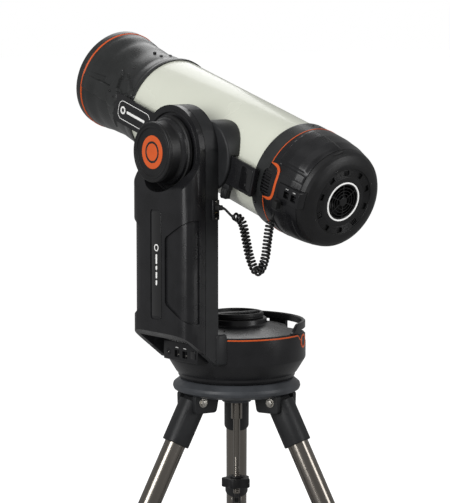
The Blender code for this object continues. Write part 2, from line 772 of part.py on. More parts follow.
def optics():
    focal_length = 0.335
    bore_r = 0.0200
    mirror_r = 0.0760
    back = -0.2250
    count = 6
    profile = []
    for i in range(count + 1):
        radius = bore_r + (mirror_r - bore_r) * i / count
        profile.append((radius, back + 0.0200 + radius * radius / (2 * focal_length)))
    profile += [(mirror_r, back), (bore_r, back)]
    lathe("primary_mirror", profile, MIRROR, tube_axis, MEDIUM, ring=True)
    rod("focus_screw", 0.0030, -0.2600, -0.2256, STEEL, tube_axis, 12, (0.045, 0.030, 0))
    barrel = [
        (0, 0.3560),
        (0.0390, 0.3560),
        (0.0400, 0.3550),
        (0.0400, 0.3110),
        (0.0480, 0.3105),
        (0.0480, 0.3065),
        (0.0400, 0.3065),
        (0.0400, 0.2600),
        (0.0300, 0.2450),
        (0.0220, 0.2450),
        (0.0200, 0.3000),
        (0, 0.3000),
    ]
    camera = lathe("camera_barrel", barrel, BLACK, tube_axis, MEDIUM)
    place = (TUBE_SHIFT_X, 0, TUBE_SHIFT_Z)
    space_low = (-0.0160, 0.3280, -0.0280)
    cut(camera, box("drawer_space", space_low, (0.0600, 0.3360, 0.0280), None, altitude, 0, place))
    drawer_low = (-0.0150, 0.3284, -0.0272)
    drawer = box("filter_drawer", drawer_low, (0.0420, 0.3356, 0.0272), BLACK, altitude, 0, place)
    cut(drawer, rod("drawer_window", 0.0180, 0.32, 0.35, None, tube_axis, SMALL, (0.008, 0, 0)))


# ---- cord between the arm and the tube


def smooth_route(points, steps):
    """Points on a Catmull-Rom curve through the route's own points."""
    padded = [2 * points[0] - points[1]] + points + [2 * points[-1] - points[-2]]
    route = []
    for i in range(1, len(padded) - 2):
        before, start, end, after = padded[i - 1 : i + 3]
        slope = end - before
        bend = 2 * before - 5 * start + 4 * end - after
        twist = 3 * start - before - 3 * end + after
        for j in range(steps):
            t = j / steps
            route.append(start + 0.5 * (slope * t + bend * t**2 + twist * t**3))
    route.append(points[-1])
    return route


def cord_tube(name, points, steps, radius):
    curve = bpy.data.curves.new(name, "CURVE")
    curve.dimensions = "3D"
    curve.bevel_depth = radius
    curve.bevel_resolution = 2
    curve.use_fill_caps = True
    route = smooth_route([Vector(point) for point in points], steps)
    spline = curve.splines.new("POLY")
    spline.points.add(len(route) - 1)
    for point, place in zip(spline.points, route):
        point.co = (*place, 1)
    return mesh_from_curve(name, curve, Matrix.Identity(4), RUBBER, mount)


def cord():
    """A curly lead from the arm's socket to the tube's, both ends plugged in."""
    box("arm_plug", (-0.1195, -0.0975, 0.9155), (-0.1100, -0.0858, 0.9245), RUBBER, mount, 0.001)
    box("tube_plug", (-0.1010, -0.2390, -0.0200), (-0.0900, -0.2270, -0.0075), RUBBER, altitude, 0.001)
    lead = [
        (-0.1148, -0.0979, 0.9200),
        (-0.1146, -0.1060, 0.9192),
        (-0.1142, -0.1150, 0.9140),
        (-0.1136, -0.1240, 0.9085),
    ]
    cord_tube("cord_lead", lead, 3, 0.0020)
    coil = [
        (-0.1134, -0.1262, 0.9076),
        (-0.1120, -0.1400, 0.9060),
        (-0.1105, -0.1500, 0.8960),
        (-0.1090, -0.1570, 0.8700),
        (-0.1070, -0.1650, 0.8400),
        (-0.1050, -0.1780, 0.8190),
        (-0.1035, -0.1900, 0.8230),
        (-0.1020, -0.1990, 0.8440),
        (-0.1010, -0.2030, 0.8700),
        (-0.1000, -0.2080, 0.8980),
        (-0.0975, -0.2150, 0.9180),
    ]
    cord_tube("cord_coil", coil, 3, 0.0060)


def build():
    outer, hub_z = brace_geometry()
    tripod_head()
    tripod_centre()
    brace_hub(hub_z)
    for index in (1, 2, 3):
        leg(index, outer, hub_z)
    base()
    deck()
    ring_handle()
    azimuth_drive()
    port_panel()
    arm()
    altitude_knob()
    altitude_drive()
    saddle()
    tube_body()
    rear()
    fan()
    optics()
    cord()
    bpy.context.view_layer.update()


build()
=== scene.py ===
"""Looks of the smart Schmidt telescope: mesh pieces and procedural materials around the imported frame."""

import json
import math

import bmesh
import bpy
from mathutils import Euler, Matrix, Vector


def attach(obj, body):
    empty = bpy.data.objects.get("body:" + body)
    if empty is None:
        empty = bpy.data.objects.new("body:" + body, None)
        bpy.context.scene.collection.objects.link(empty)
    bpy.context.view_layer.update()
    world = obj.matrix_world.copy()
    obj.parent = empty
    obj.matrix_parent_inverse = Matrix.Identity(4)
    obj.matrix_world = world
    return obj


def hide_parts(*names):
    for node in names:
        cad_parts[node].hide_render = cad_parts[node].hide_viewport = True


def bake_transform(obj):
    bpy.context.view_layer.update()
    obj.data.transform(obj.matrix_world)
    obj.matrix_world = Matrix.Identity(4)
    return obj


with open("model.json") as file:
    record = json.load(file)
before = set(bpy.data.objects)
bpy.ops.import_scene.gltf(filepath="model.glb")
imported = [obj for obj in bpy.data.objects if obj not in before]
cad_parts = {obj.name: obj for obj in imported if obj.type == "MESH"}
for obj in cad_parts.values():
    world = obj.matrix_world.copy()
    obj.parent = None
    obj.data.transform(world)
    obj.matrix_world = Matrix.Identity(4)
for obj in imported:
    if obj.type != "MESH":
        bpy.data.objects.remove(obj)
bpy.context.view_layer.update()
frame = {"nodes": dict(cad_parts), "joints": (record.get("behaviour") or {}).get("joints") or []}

JOINTS = {joint["name"]: joint for joint in frame["joints"]}
AXIS = Vector(JOINTS["azimuth"]["pos_m"])
ALTITUDE = Vector(JOINTS["altitude"]["pos_m"])
TILT = math.atan2(JOINTS["fan_spin"]["axis"][2], JOINTS["fan_spin"]["axis"][1])

TUBE_X = 0.006  # tube's axis from the azimuth axis
TUBE_Z = 0.004  # and above the altitude axis

# frames: the azimuth axis on the floor, the tilted altitude axis, and the tube with its Z along it
HERE = Matrix.Identity(4)
MOUNT = Matrix.Translation((AXIS.x, AXIS.y, 0))
HEAD = Matrix.Translation((AXIS.x, AXIS.y, ALTITUDE.z)) @ Matrix.Rotation(TILT, 4, "X")
TO_X = Matrix.Rotation(math.pi / 2, 4, "Y")  # turns local Z to +X, and so on
TO_MINUS_X = Matrix.Rotation(-math.pi / 2, 4, "Y")
TO_Y = Matrix.Rotation(-math.pi / 2, 4, "X")
TO_MINUS_Y = Matrix.Rotation(math.pi / 2, 4, "X")
TUBE = HEAD @ Matrix.Translation((TUBE_X, 0, TUBE_Z)) @ TO_Y
ALT_Z = ALTITUDE.z
AT_AXIS = Matrix.Translation((0, 0, ALT_Z)) @ TO_X  # on the altitude axis, Z along it
YZ_PLANE = Euler((math.pi / 2, 0, math.pi / 2)).to_matrix().to_4x4()  # x, y become Y, Z
FROM_YZ = YZ_PLANE.inverted()
XZ_PLANE = Euler((math.pi / 2, 0, 0)).to_matrix().to_4x4()  # x, y become X, Z, raised to -Y

# driving dimensions that the pieces share with the frame
TUBE_R = 0.091
REAR_R = 0.0955  # rear ring and the shell behind it
TRIM_STATION = -0.1868  # orange trim between them
CAP_FACE = -0.2836
BAR_FACE_X = -0.1000  # outer face of the dovetail bar
VENT_Y = -0.1888
VENT_Z = 0.0100  # middle of the vent grille, above the altitude axis
SADDLE_Y = -0.0454  # middle of the saddle's hub
SADDLE_Z = 0.0052
DRUM_R = 0.123
DRUM_TOP_Z = 0.6875
DECK_Z = 0.7118
WELL = (-48, 68)  # degrees round the drum between which it is lowered under the handle
WELL_Z = 0.6700
KNOB_TOP_Z = 0.722
BASE_Z = 0.6055
HEAD_Z = 0.590
ARM_INNER_X = -0.107
ARM_SPLIT_X = -0.135
ARM_OUTER_X = -0.180
ARM_HALF_WIDTH = 0.080
KNOB_BACK_X = -0.1476
BUTTON_Z = 0.6745
BUTTON_AZIMUTH = math.radians(-57)
LEG_SPLAY = math.radians(27.0)
LEG_FIRST_AZIMUTH = math.radians(50.5)
LEG_PIVOT_R = 0.087
LEG_PIVOT_Z = 0.569
LEG_TUBE_R = 0.01905
CLAMP_Z = -0.375
GAP = 0.0004

FINE = 160
MEDIUM = 96
SMALL = 48


# ---- materials


def link_noise(tree, coordinates, scale, detail=3.0, stretch=(1, 1, 1)):
    """A noise texture on the object's own coordinates, stretched along an axis for brushed metal."""
    mapping = tree.nodes.new("ShaderNodeMapping")
    mapping.inputs["Scale"].default_value = stretch
    noise = tree.nodes.new("ShaderNodeTexNoise")
    noise.inputs["Scale"].default_value = scale
    noise.inputs["Detail"].default_value = detail
    tree.links.new(coordinates.outputs["Object"], mapping.inputs["Vector"])
    tree.links.new(mapping.outputs["Vector"], noise.inputs["Vector"])
    return noise


def surface(
    name,
    dark,
    light,
    roughness,
    grain=0.0,
    grain_scale=900.0,
    patch_scale=35.0,
    metallic=0.0,
    stretch=(1, 1, 1),
    **fixed,
):
    """A finish with a wandering colour, an uneven gloss and a moulded or brushed grain."""
    material = bpy.data.materials.new(name)
    material.use_nodes = True
    tree = material.node_tree
    shader = tree.nodes["Principled BSDF"]
    shader.inputs["Metallic"].default_value = metallic
    for socket, value in fixed.items():
        shader.inputs[socket.replace("_", " ")].default_value = value
    coordinates = tree.nodes.new("ShaderNodeTexCoord")

    patches = link_noise(tree, coordinates, patch_scale, 4.0, stretch)
    ramp = tree.nodes.new("ShaderNodeValToRGB")
    ramp.color_ramp.elements[0].position = 0.35
    ramp.color_ramp.elements[0].color = (*dark, 1)
    ramp.color_ramp.elements[1].position = 0.68
    ramp.color_ramp.elements[1].color = (*light, 1)
    tree.links.new(patches.outputs["Fac"], ramp.inputs["Fac"])
    tree.links.new(ramp.outputs["Color"], shader.inputs["Base Color"])

    spread = tree.nodes.new("ShaderNodeMapRange")
    spread.inputs["From Min"].default_value = 0.3
    spread.inputs["From Max"].default_value = 0.7
    spread.inputs["To Min"].default_value = roughness[0]
    spread.inputs["To Max"].default_value = roughness[1]
    tree.links.new(patches.outputs["Fac"], spread.inputs["Value"])
    tree.links.new(spread.outputs["Result"], shader.inputs["Roughness"])

    if grain:
        fine = link_noise(tree, coordinates, grain_scale, 2.0, stretch)
        bump = tree.nodes.new("ShaderNodeBump")
        bump.inputs["Strength"].default_value = grain
        bump.inputs["Distance"].default_value = 0.0004
        tree.links.new(fine.outputs["Fac"], bump.inputs["Height"])
        tree.links.new(bump.outputs["Normal"], shader.inputs["Normal"])
    return material


def tones(red, green, blue, change=0.15):
    """A darker and a lighter tone of one colour."""
    return (
        tuple(channel * (1 - change) for channel in (red, green, blue)),
        tuple(channel * (1 + change) for channel in (red, green, blue)),
    )


DULL = {"Specular_IOR_Level": 0.28}  # black finishes that mirror little of the studio
PLASTIC = surface("black_moulded", *tones(0.0085, 0.0085, 0.0090), (0.36, 0.46), 0.20, 1400, **DULL)
SATIN = surface("black_satin", *tones(0.0085, 0.0085, 0.0095), (0.24, 0.33), 0.06, 1800,
                Specular_IOR_Level=0.35)
GLOSS = surface("black_gloss", *tones(0.0060, 0.0060, 0.0065), (0.10, 0.18), 0.02, 600, Coat_Weight=0.3)
CASTING = surface("powder_coat", *tones(0.0125, 0.0130, 0.0140), (0.40, 0.52), 0.50, 700, **DULL)
HEAD_PAINT = surface("head_paint", *tones(0.042, 0.045, 0.050), (0.34, 0.46), 0.30, 800, **DULL)
CELL_PAINT = surface("cell_paint", *tones(0.015, 0.016, 0.016), (0.24, 0.34), 0.12, 1500)
CREAM = surface("cream_enamel", *tones(0.585, 0.600, 0.515, 0.02), (0.22, 0.30), 0.05, 500, 8.0,
                Coat_Weight=0.25)
ORANGE = surface("orange_trim", *tones(0.520, 0.082, 0.016, 0.06), (0.30, 0.40), 0.06, 900, **DULL)
STEEL = surface(
    "brushed_steel", *tones(0.25, 0.23, 0.205, 0.10), (0.16, 0.30), 0.10, 220, 90.0, 1.0, (1, 1, 0.03)
)
BOLT = surface("bolt_zinc", *tones(0.50, 0.48, 0.44, 0.15), (0.22, 0.38), 0.25, 500, 300.0, 1.0)
RUBBER = surface("rubber", *tones(0.008, 0.008, 0.008, 0.25), (0.55, 0.72), 0.35, 900, **DULL)
LEAD = surface("lead_jacket", *tones(0.010, 0.010, 0.010, 0.20), (0.30, 0.42), 0.10, 1200, **DULL)
BRASS = surface("machined_brass", *tones(0.72, 0.52, 0.22, 0.10), (0.20, 0.34), 0.20, 400, 200.0, 1.0)
MIRROR = surface("mirror_coat", *tones(0.88, 0.88, 0.90, 0.01), (0.02, 0.05), 0.0, 1.0, 10.0, 1.0)
GLASS = surface(
    "coated_glass", *tones(0.80, 0.90, 0.88, 0.03), (0.01, 0.03), 0.0, 1.0, 12.0,
    Transmission_Weight=1.0, IOR=1.5, Specular_IOR_Level=0.3,
)
LENS = surface("light_ring", *tones(0.86, 0.86, 0.84, 0.03), (0.25, 0.35), 0.05, 600,
               Emission_Strength=0.15)
LENS.node_tree.nodes["Principled BSDF"].inputs["Emission Color"].default_value = (1, 1, 1, 1)
INK = surface("white_ink", *tones(0.74, 0.74, 0.72, 0.06), (0.40, 0.55), 0.10, 900)
DARK = surface("shadow_black", *tones(0.006, 0.006, 0.006, 0.3), (0.60, 0.75), 0.30, 900)


# ---- mesh helpers


def add_piece(name, mesh, material, body, place=HERE, nodes=(), slot="black_plastic", sharp=32):
    """A finished mesh that rides on a body and stands for the CAD nodes named."""
    mesh.materials.clear()
    mesh.materials.append(material)
    mesh.shade_smooth()
    mesh.set_sharp_from_angle(angle=math.radians(sharp))
    obj = bpy.data.objects.new(name, mesh)
    bpy.context.scene.collection.objects.link(obj)
    obj.matrix_world = place
    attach(obj, body)
    if nodes:
        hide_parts(*nodes)
    return obj


def as_mesh(name, shape):
    mesh = bpy.data.meshes.new(name)
    bmesh.ops.recalc_face_normals(shape, faces=shape.faces)
    shape.to_mesh(mesh)
    shape.free()
    return mesh


def grid_mesh(name, rows, closed_rows=False, closed_columns=True, caps=False):
    """A mesh through rows of points; each row may close on itself, and so may the stack of rows."""
    shape = bmesh.new()
    verts = [[shape.verts.new(point) for point in row] for row in rows]
    count = len(rows[0])
    last_row = len(rows) if closed_rows else len(rows) - 1
    last_column = count if closed_columns else count - 1
    for i in range(last_row):
        lower = verts[i]
        upper = verts[(i + 1) % len(rows)]
        for j in range(last_column):
            k = (j + 1) % count
            shape.faces.new((lower[j], lower[k], upper[k], upper[j]))
    if caps:
        shape.faces.new(verts[0])
        shape.faces.new(verts[-1])
    bmesh.ops.remove_doubles(shape, verts=shape.verts, dist=0.000002)
    return as_mesh(name, shape)


def rounded(points, radius, closed=False, steps=4, sharpest=12):
    """The outline with each of its corners replaced by a short curve."""
    result = []
    count = len(points)
    for i, point in enumerate(points):
        here = Vector(point)
        if not closed and i in (0, count - 1):
            result.append(tuple(here))
            continue
        before = Vector(points[i - 1]) - here
        after = Vector(points[(i + 1) % count]) - here
        if before.length < 1e-7 or after.length < 1e-7 or before.angle(-after) < math.radians(sharpest):
            result.append(tuple(here))
            continue
        reach = min(radius, 0.45 * before.length, 0.45 * after.length)
        start = here + before.normalized() * reach
        end = here + after.normalized() * reach
        for step in range(steps + 1):
            t = step / steps
            result.append(tuple(start * (1 - t) ** 2 + here * 2 * t * (1 - t) + end * t**2))
    return result


def polar(radius, angle, station):
    """A point on the tube: the angle runs from +X through the tube's top."""
    return (radius * math.cos(angle), -radius * math.sin(angle), station)


def ring_profile(inner, outer, low, high):
    """Profile of a plain ring or, from radius 0, of a disc."""
    return [(inner, low), (outer, low), (outer, high), (inner, high)]


def turned_mesh(name, profile, steps=MEDIUM, ring=False, edge=0.0008):
    """A profile of (radius, height) turned round Z, its corners rounded by edge."""
    outline = rounded(profile, edge, ring) if edge else profile
    rows = []
    for radius, height in outline:
        angles = [2 * math.pi * i / steps for i in range(steps)]
        rows.append([(radius * math.cos(a), radius * math.sin(a), height) for a in angles])
    return grid_mesh(name, rows, ring)


def turned(name, profile, material, body, place, steps=MEDIUM, ring=False, edge=0.0008, **more):
    return add_piece(name, turned_mesh(name, profile, steps, ring, edge), material, body, place, **more)


def shaped_ring(name, outline, swell, steps=FINE):
    """A ring round the tube, from (radius, station, weight); points swell outward by their weight."""
    rows = []
    for radius, station, weight in outline:
        row = []
        for i in range(steps):
            angle = 2 * math.pi * i / steps
            row.append(polar(radius + weight * swell(station, angle), angle, station))
        rows.append(row)
    return grid_mesh(name, rows, closed_rows=True)


def prism_mesh(name, outlines, low, high, edge=0.0008, segments=3):
    """Outlines raised from low to high along Z, with rounded edges; outlines after the first are holes."""
    curve = bpy.data.curves.new(name, "CURVE")
    curve.dimensions = "2D"
    curve.fill_mode = "BOTH"
    curve.extrude = (high - low) / 2 - edge
    curve.bevel_depth = edge
    curve.bevel_resolution = segments - 1
    curve.offset = -edge
    for outline in outlines:
        spline = curve.splines.new("POLY")
        spline.points.add(len(outline) - 1)
        for point, (x, y) in zip(spline.points, outline):
            point.co = (x, y, 0, 1)
        spline.use_cyclic_u = True
    holder = bpy.data.objects.new(name, curve)
    bpy.context.scene.collection.objects.link(holder)
    evaluated = holder.evaluated_get(bpy.context.evaluated_depsgraph_get())
    source = bpy.data.meshes.new_from_object(evaluated)
    bpy.data.objects.remove(holder, do_unlink=True)
    shape = bmesh.new()
    shape.from_mesh(source)
    bmesh.ops.remove_doubles(shape, verts=shape.verts, dist=0.000005)
    bmesh.ops.translate(shape, verts=shape.verts, vec=(0, 0, (low + high) / 2))
    return as_mesh(name, shape)


def prism(name, outlines, low, high, material, body, place, edge=0.0008, **more):
    return add_piece(name, prism_mesh(name, outlines, low, high, edge), material, body, place, **more)


def block_mesh(name, low, high, edge=0.001, segments=3):
    """A block between two corners with rounded edges."""
    low = Vector(low)
    high = Vector(high)
    shape = bmesh.new()
    bmesh.ops.create_cube(shape, size=1.0)
    place = Matrix.Translation((low + high) / 2) @ Matrix.Diagonal((*(high - low), 1.0))
    bmesh.ops.transform(shape, matrix=place, verts=shape.verts)
    if edge:
        bmesh.ops.bevel(
            shape, geom=shape.edges[:], offset=edge, segments=segments, profile=0.5, affect="EDGES"
        )
    return as_mesh(name, shape)


def block(name, low, high, material, body, place, edge=0.001, **more):
    return add_piece(name, block_mesh(name, low, high, edge), material, body, place, **more)


def combined(name, base, *operations):
    """The mesh left after each (operation, mesh, matrix) has been carried out on the base mesh."""
    target = bpy.data.objects.new(name, base)
    bpy.context.scene.collection.objects.link(target)
    helpers = []
    for operation, mesh, matrix in operations:
        helper = bpy.data.objects.new("helper", mesh)
        bpy.context.scene.collection.objects.link(helper)
        helper.matrix_world = matrix
        helpers.append(helper)
        modifier = target.modifiers.new(operation, "BOOLEAN")
        modifier.operation = operation
        modifier.object = helper
        modifier.solver = "EXACT"
    evaluated = target.evaluated_get(bpy.context.evaluated_depsgraph_get())
    mesh = bpy.data.meshes.new_from_object(evaluated)
    for helper in [target, *helpers]:
        bpy.data.objects.remove(helper, do_unlink=True)
    return mesh


def less(mesh, place=HERE):
    """A cut, for combined()."""
    return ("DIFFERENCE", mesh, place)


def plus(mesh, place=HERE):
    """A join, for combined()."""
    return ("UNION", mesh, place)


def softened(mesh, width, segments=2, limit=35):
    """The mesh with its sharp edges rounded."""
    target = bpy.data.objects.new("softened", mesh)
    bpy.context.scene.collection.objects.link(target)
    modifier = target.modifiers.new("edges", "BEVEL")
    modifier.width = width
    modifier.segments = segments
    modifier.limit_method = "ANGLE"
    modifier.angle_limit = math.radians(limit)
    modifier.harden_normals = False
    evaluated = target.evaluated_get(bpy.context.evaluated_depsgraph_get())
    result = bpy.data.meshes.new_from_object(evaluated)
    bpy.data.objects.remove(target, do_unlink=True)
    return result


def arc(centre, radius, start, end, count):
    """count + 1 points on an arc; angles in degrees."""
    points = []
    for i in range(count + 1):
        angle = math.radians(start + (end - start) * i / count)
        points.append((centre[0] + radius * math.cos(angle), centre[1] + radius * math.sin(angle)))
    return points


def circle(radius, count=SMALL, centre=(0, 0)):
    return arc(centre, radius, 0, 360 - 360 / count, count - 1)


def rounded_rectangle(half_x, half_y, radius, centre=(0, 0), count=6):
    points = []
    for turn, (sign_x, sign_y) in enumerate(((1, 1), (-1, 1), (-1, -1), (1, -1))):
        middle = (centre[0] + sign_x * (half_x - radius), centre[1] + sign_y * (half_y - radius))
        points += arc(middle, radius, 90 * turn, 90 * turn + 90, count)
    return points


def lobed(lobes, radius, depth, count=96):
    points = []
    for i in range(count):
        angle = 2 * math.pi * i / count
        reach = radius - depth * (0.5 - 0.5 * math.cos(lobes * angle))
        points.append((reach * math.cos(angle), reach * math.sin(angle)))
    return points


def swept_mesh(name, path, radius, sides=10, radii=None):
    """A round tube along a path of points, closed at both ends."""
    points = [Vector(point) for point in path]
    rows = []
    side = None
    for i, point in enumerate(points):
        ahead = points[min(i + 1, len(points) - 1)] - points[max(i - 1, 0)]
        ahead.normalize()
        if side is None:
            side = ahead.orthogonal().normalized()
        side = (side - ahead * side.dot(ahead)).normalized()
        other = ahead.cross(side)
        size = radii[i] if radii else radius
        row = []
        for j in range(sides):
            angle = 2 * math.pi * j / sides
            row.append(point + (side * math.cos(angle) + other * math.sin(angle)) * size)
        rows.append(row)
    return grid_mesh(name, rows, caps=True)


def screw_head(name, body, place, radius=0.0028, height=0.0016, material=BOLT, slot="brushed_steel"):
    """A socket-head screw standing on the place's XY plane, with its hexagon socket."""
    head = turned_mesh(name, ring_profile(0, radius, height, -0.002), 32, edge=radius * 0.25)
    socket = prism_mesh(name, [circle(radius * 0.5, 6)], height * 0.3, height * 2, 0)
    mesh = combined(name, head, less(socket))
    return add_piece(name, mesh, material, body, place, slot=slot)


def on_tube(angle, station, radius, turn=0.0):
    """A frame on the tube's surface: Z outward, X along the tube towards its front."""
    outward = Vector(polar(1, math.radians(angle), 0))
    forward = Vector((0, 0, 1))
    across = outward.cross(forward)
    rotation = Matrix((forward, across, outward)).transposed().to_4x4()
    spin = Matrix.Rotation(math.radians(turn), 4, "Z")
    return TUBE @ Matrix.Translation(outward * radius + forward * station) @ rotation @ spin


def smooth(low, high, value):
    """0 below low, 1 above high, and smooth between."""
    t = min(1.0, max(0.0, (value - low) / (high - low)))
    return t * t * (3 - 2 * t)


# ---- camera, lights and floor


def stage():
    camera_data = bpy.data.cameras.new("camera")
    camera_data.sensor_width = 36
    camera_data.lens = 157.45
    camera_data.clip_end = 100
    camera = bpy.data.objects.new("camera", camera_data)
    bpy.context.scene.collection.objects.link(camera)
    heading = math.radians(39.5183)
    yaw = math.radians(0.3064)
    pitch = math.radians(6.4488)
    distance = 3.8784
    camera.location = (
        AXIS.x - distance * math.sin(heading),
        AXIS.y - distance * math.cos(heading),
        HEAD_Z + 0.677,
    )
    camera.rotation_euler = (math.pi / 2 - pitch, 0, yaw - heading)
    bpy.context.scene.camera = camera

    floor_mesh = grid_mesh("floor", [[(-40, -40, 0), (40, -40, 0)], [(-40, 40, 0), (40, 40, 0)]], False,
                           False)
    pale = surface("pale_floor", *tones(0.86, 0.86, 0.85, 0.01), (0.6, 0.7), 0.0, 1.0, 2.0,
                   Emission_Strength=0.62)
    pale.node_tree.nodes["Principled BSDF"].inputs["Emission Color"].default_value = (1, 1, 1, 1)
    floor_mesh.materials.append(pale)
    floor = bpy.data.objects.new("floor", floor_mesh)
    bpy.context.scene.collection.objects.link(floor)
    floor.location.z = -0.0005
    floor.visible_glossy = False
    floor.visible_diffuse = False

    world = bpy.data.worlds.new("studio")
    bpy.context.scene.world = world
    world.use_nodes = True
    tree = world.node_tree
    background = tree.nodes["Background"]
    light_path = tree.nodes.new("ShaderNodeLightPath")
    ambient = 0.50
    mirrored = 0.30
    for_glossy = tree.nodes.new("ShaderNodeMapRange")
    for_glossy.inputs["To Min"].default_value = ambient
    for_glossy.inputs["To Max"].default_value = mirrored
    for_camera = tree.nodes.new("ShaderNodeMapRange")
    for_camera.inputs["To Max"].default_value = 1.0
    background.inputs["Color"].default_value = (1, 1, 1, 1)
    tree.links.new(light_path.outputs["Is Glossy Ray"], for_glossy.inputs["Value"])
    tree.links.new(light_path.outputs["Is Camera Ray"], for_camera.inputs["Value"])
    tree.links.new(for_glossy.outputs["Result"], for_camera.inputs["To Min"])
    tree.links.new(for_camera.outputs["Result"], background.inputs["Strength"])

    middle = Vector((0, 0, 0.85))
    softboxes = (
        ("left_softbox", (-80, 20), 2.6, (1.0, 2.2), 54),
        ("right_softbox", (25, 18), 2.6, (0.8, 2.2), 28),
        ("top_softbox", (-40, 78), 2.4, (2.0, 1.2), 4),
        ("back_softbox", (150, 35), 2.8, (1.6, 1.6), 14),
    )
    for name, (azimuth, elevation), reach, size, power in softboxes:
        light_data = bpy.data.lights.new(name, "AREA")
        light_data.shape = "RECTANGLE"
        light_data.size = size[0]
        light_data.size_y = size[1]
        light_data.energy = power
        light = bpy.data.objects.new(name, light_data)
        a = math.radians(azimuth)
        e = math.radians(elevation)
        back = Vector((math.sin(a) * math.cos(e), -math.cos(a) * math.cos(e), math.sin(e)))
        light.location = middle + back * reach
        light.rotation_euler = back.to_track_quat("Z", "Y").to_euler()
        bpy.context.scene.collection.objects.link(light)
    bpy.context.scene.view_settings.view_transform = "Standard"


stage()


# ---- tube: cells, rings and rear shell


def blend_profile(nodes, station):
    """Radius at a station, eased between (station, radius) nodes."""
    if station <= nodes[0][0]:
        return nodes[0][1]
    for (start, first), (end, second) in zip(nodes, nodes[1:]):
        if station <= end:
            return first + (second - first) * smooth(start, end, station) if end > start else second
    return nodes[-1][1]


def arm_side_offset(station, angle, middle_station, middle_degrees, radius):
    """Millimetres along and round the tube from a point on its arm side."""
    turn = math.degrees(angle) % 360 - middle_degrees
    return (station - middle_station) * 1000, turn * math.radians(1) * radius * 1000


def ridge(u, v, start, end):
    """Height at (u, v) of a tapered ridge; each end is (u, v, half width, height)."""
    along = Vector((end[0] - start[0], end[1] - start[1]))
    offset = Vector((u - start[0], v - start[1]))
    t = min(1.0, max(0.0, offset.dot(along) / along.length_squared))
    distance = (offset - along * t).length
    half_width = start[2] + (end[2] - start[2]) * t
    height = start[3] + (end[3] - start[3]) * t
    flank = min(2.6, 0.6 * half_width)
    return height * (1 - smooth(half_width - flank, half_width, distance))


def star_blister(station, angle):
    """The raised star on the arm side of the front cell, with a round boss in its middle."""
    u, v = arm_side_offset(station, angle, 0.270, 177, 0.087)
    arms = (
        ((0, 0, 20, 4.4), (2, 0.5, 20, 4.4)),
        ((20, 1, 17, 4.2), (90, 0.5, 14, 0.9)),
        ((0, -10, 13, 4.2), (6, -47, 5, 2.2)),
        ((-13, -46, 3.5, 3.0), (-55, -17, 8, 2.4)),
        ((-2, 14, 17, 4.0), (4, 68, 1.6, 0.8)),
        ((-20, 4, 14, 3.6), (-50, 2, 24, 1.0)),
    )
    height = max(ridge(u, v, start, end) for start, end in arms)
    hollow = ridge(u, v, (40, -21, 5, 1.2), (80, -18, 2.5, 0.6))
    return (height - hollow) * 0.0018


def front_cell():
    nodes = [
        (0.2050, 0.0935), (0.2115, 0.0935), (0.2170, 0.0910), (0.2400, 0.0872),
        (0.2800, 0.0850), (0.3200, 0.0872), (0.3520, 0.0914), (0.3620, 0.0922),
    ]
    outline = [(0.0912, 0.2052, 0), (0.0930, 0.2050, 0), (0.0935, 0.2056, 0.3)]
    count = 88
    for i in range(1, count + 1):
        station = 0.2056 + (0.3618 - 0.2056) * i / count
        outline.append((blend_profile(nodes, station), station, 1))
    inner = [(0.0915, 0.3622), (0.0795, 0.3622), (0.0790, 0.3600), (0.0790, 0.2500), (0.0840, 0.2180)]
    outline += [(radius, station, 0) for radius, station in inner]
    outline += [(0.0840, 0.2126, 0), (0.0912, 0.2124, 0)]
    mesh = shaped_ring("front_cell", outline, star_blister, 360)
    add_piece("front_cell", mesh, CELL_PAINT, "tube", TUBE, ["front_cell"], "black_metal", 28)
    for angle, station in ((97, 0.248), (97, 0.268), (83, 0.248)):
        screw_head(f"cell_screw_{angle}_{int(station * 1000)}", "tube", on_tube(angle, station, 0.0865),
                   0.0031, 0.0024, GLOSS, "black_metal")
    screws = ((172.5, 0.277, 0.0928), (176.5, 0.262, 0.0932), (196.5, 0.262, 0.0904), (136, 0.255, 0.0858))
    for i, (angle, station, radius) in enumerate(screws):
        screw_head(f"boss_screw_{i}", "tube", on_tube(angle, station, radius), 0.0022, 0.0014, GLOSS,
                   "black_metal")
    ring = [
        (0.0800, 0.3665), (0.0928, 0.3665), (0.0931, 0.3680), (0.0929, 0.3785), (0.0915, 0.3808),
        (0.0822, 0.3808), (0.0800, 0.3790),
    ]
    turned("front_ring", ring, CELL_PAINT, "tube", TUBE, FINE, True, nodes=["front_ring"],
           slot="black_metal")
    trim = [(0.0880, 0.3624), (0.0924, 0.3624), (0.0934, 0.3636), (0.0934, 0.3652), (0.0924, 0.3664),
            (0.0880, 0.3664)]
    turned("front_trim", trim, ORANGE, "tube", TUBE, FINE, True, edge=0.0003, slot="orange_plastic")
    baffle = [(0.0788, 0.3620), (0.0800, 0.3800), (0.0796, 0.3800), (0.0782, 0.3640)]
    turned("front_baffle", baffle, DARK, "tube", TUBE, FINE, True, edge=0, slot="black_plastic")


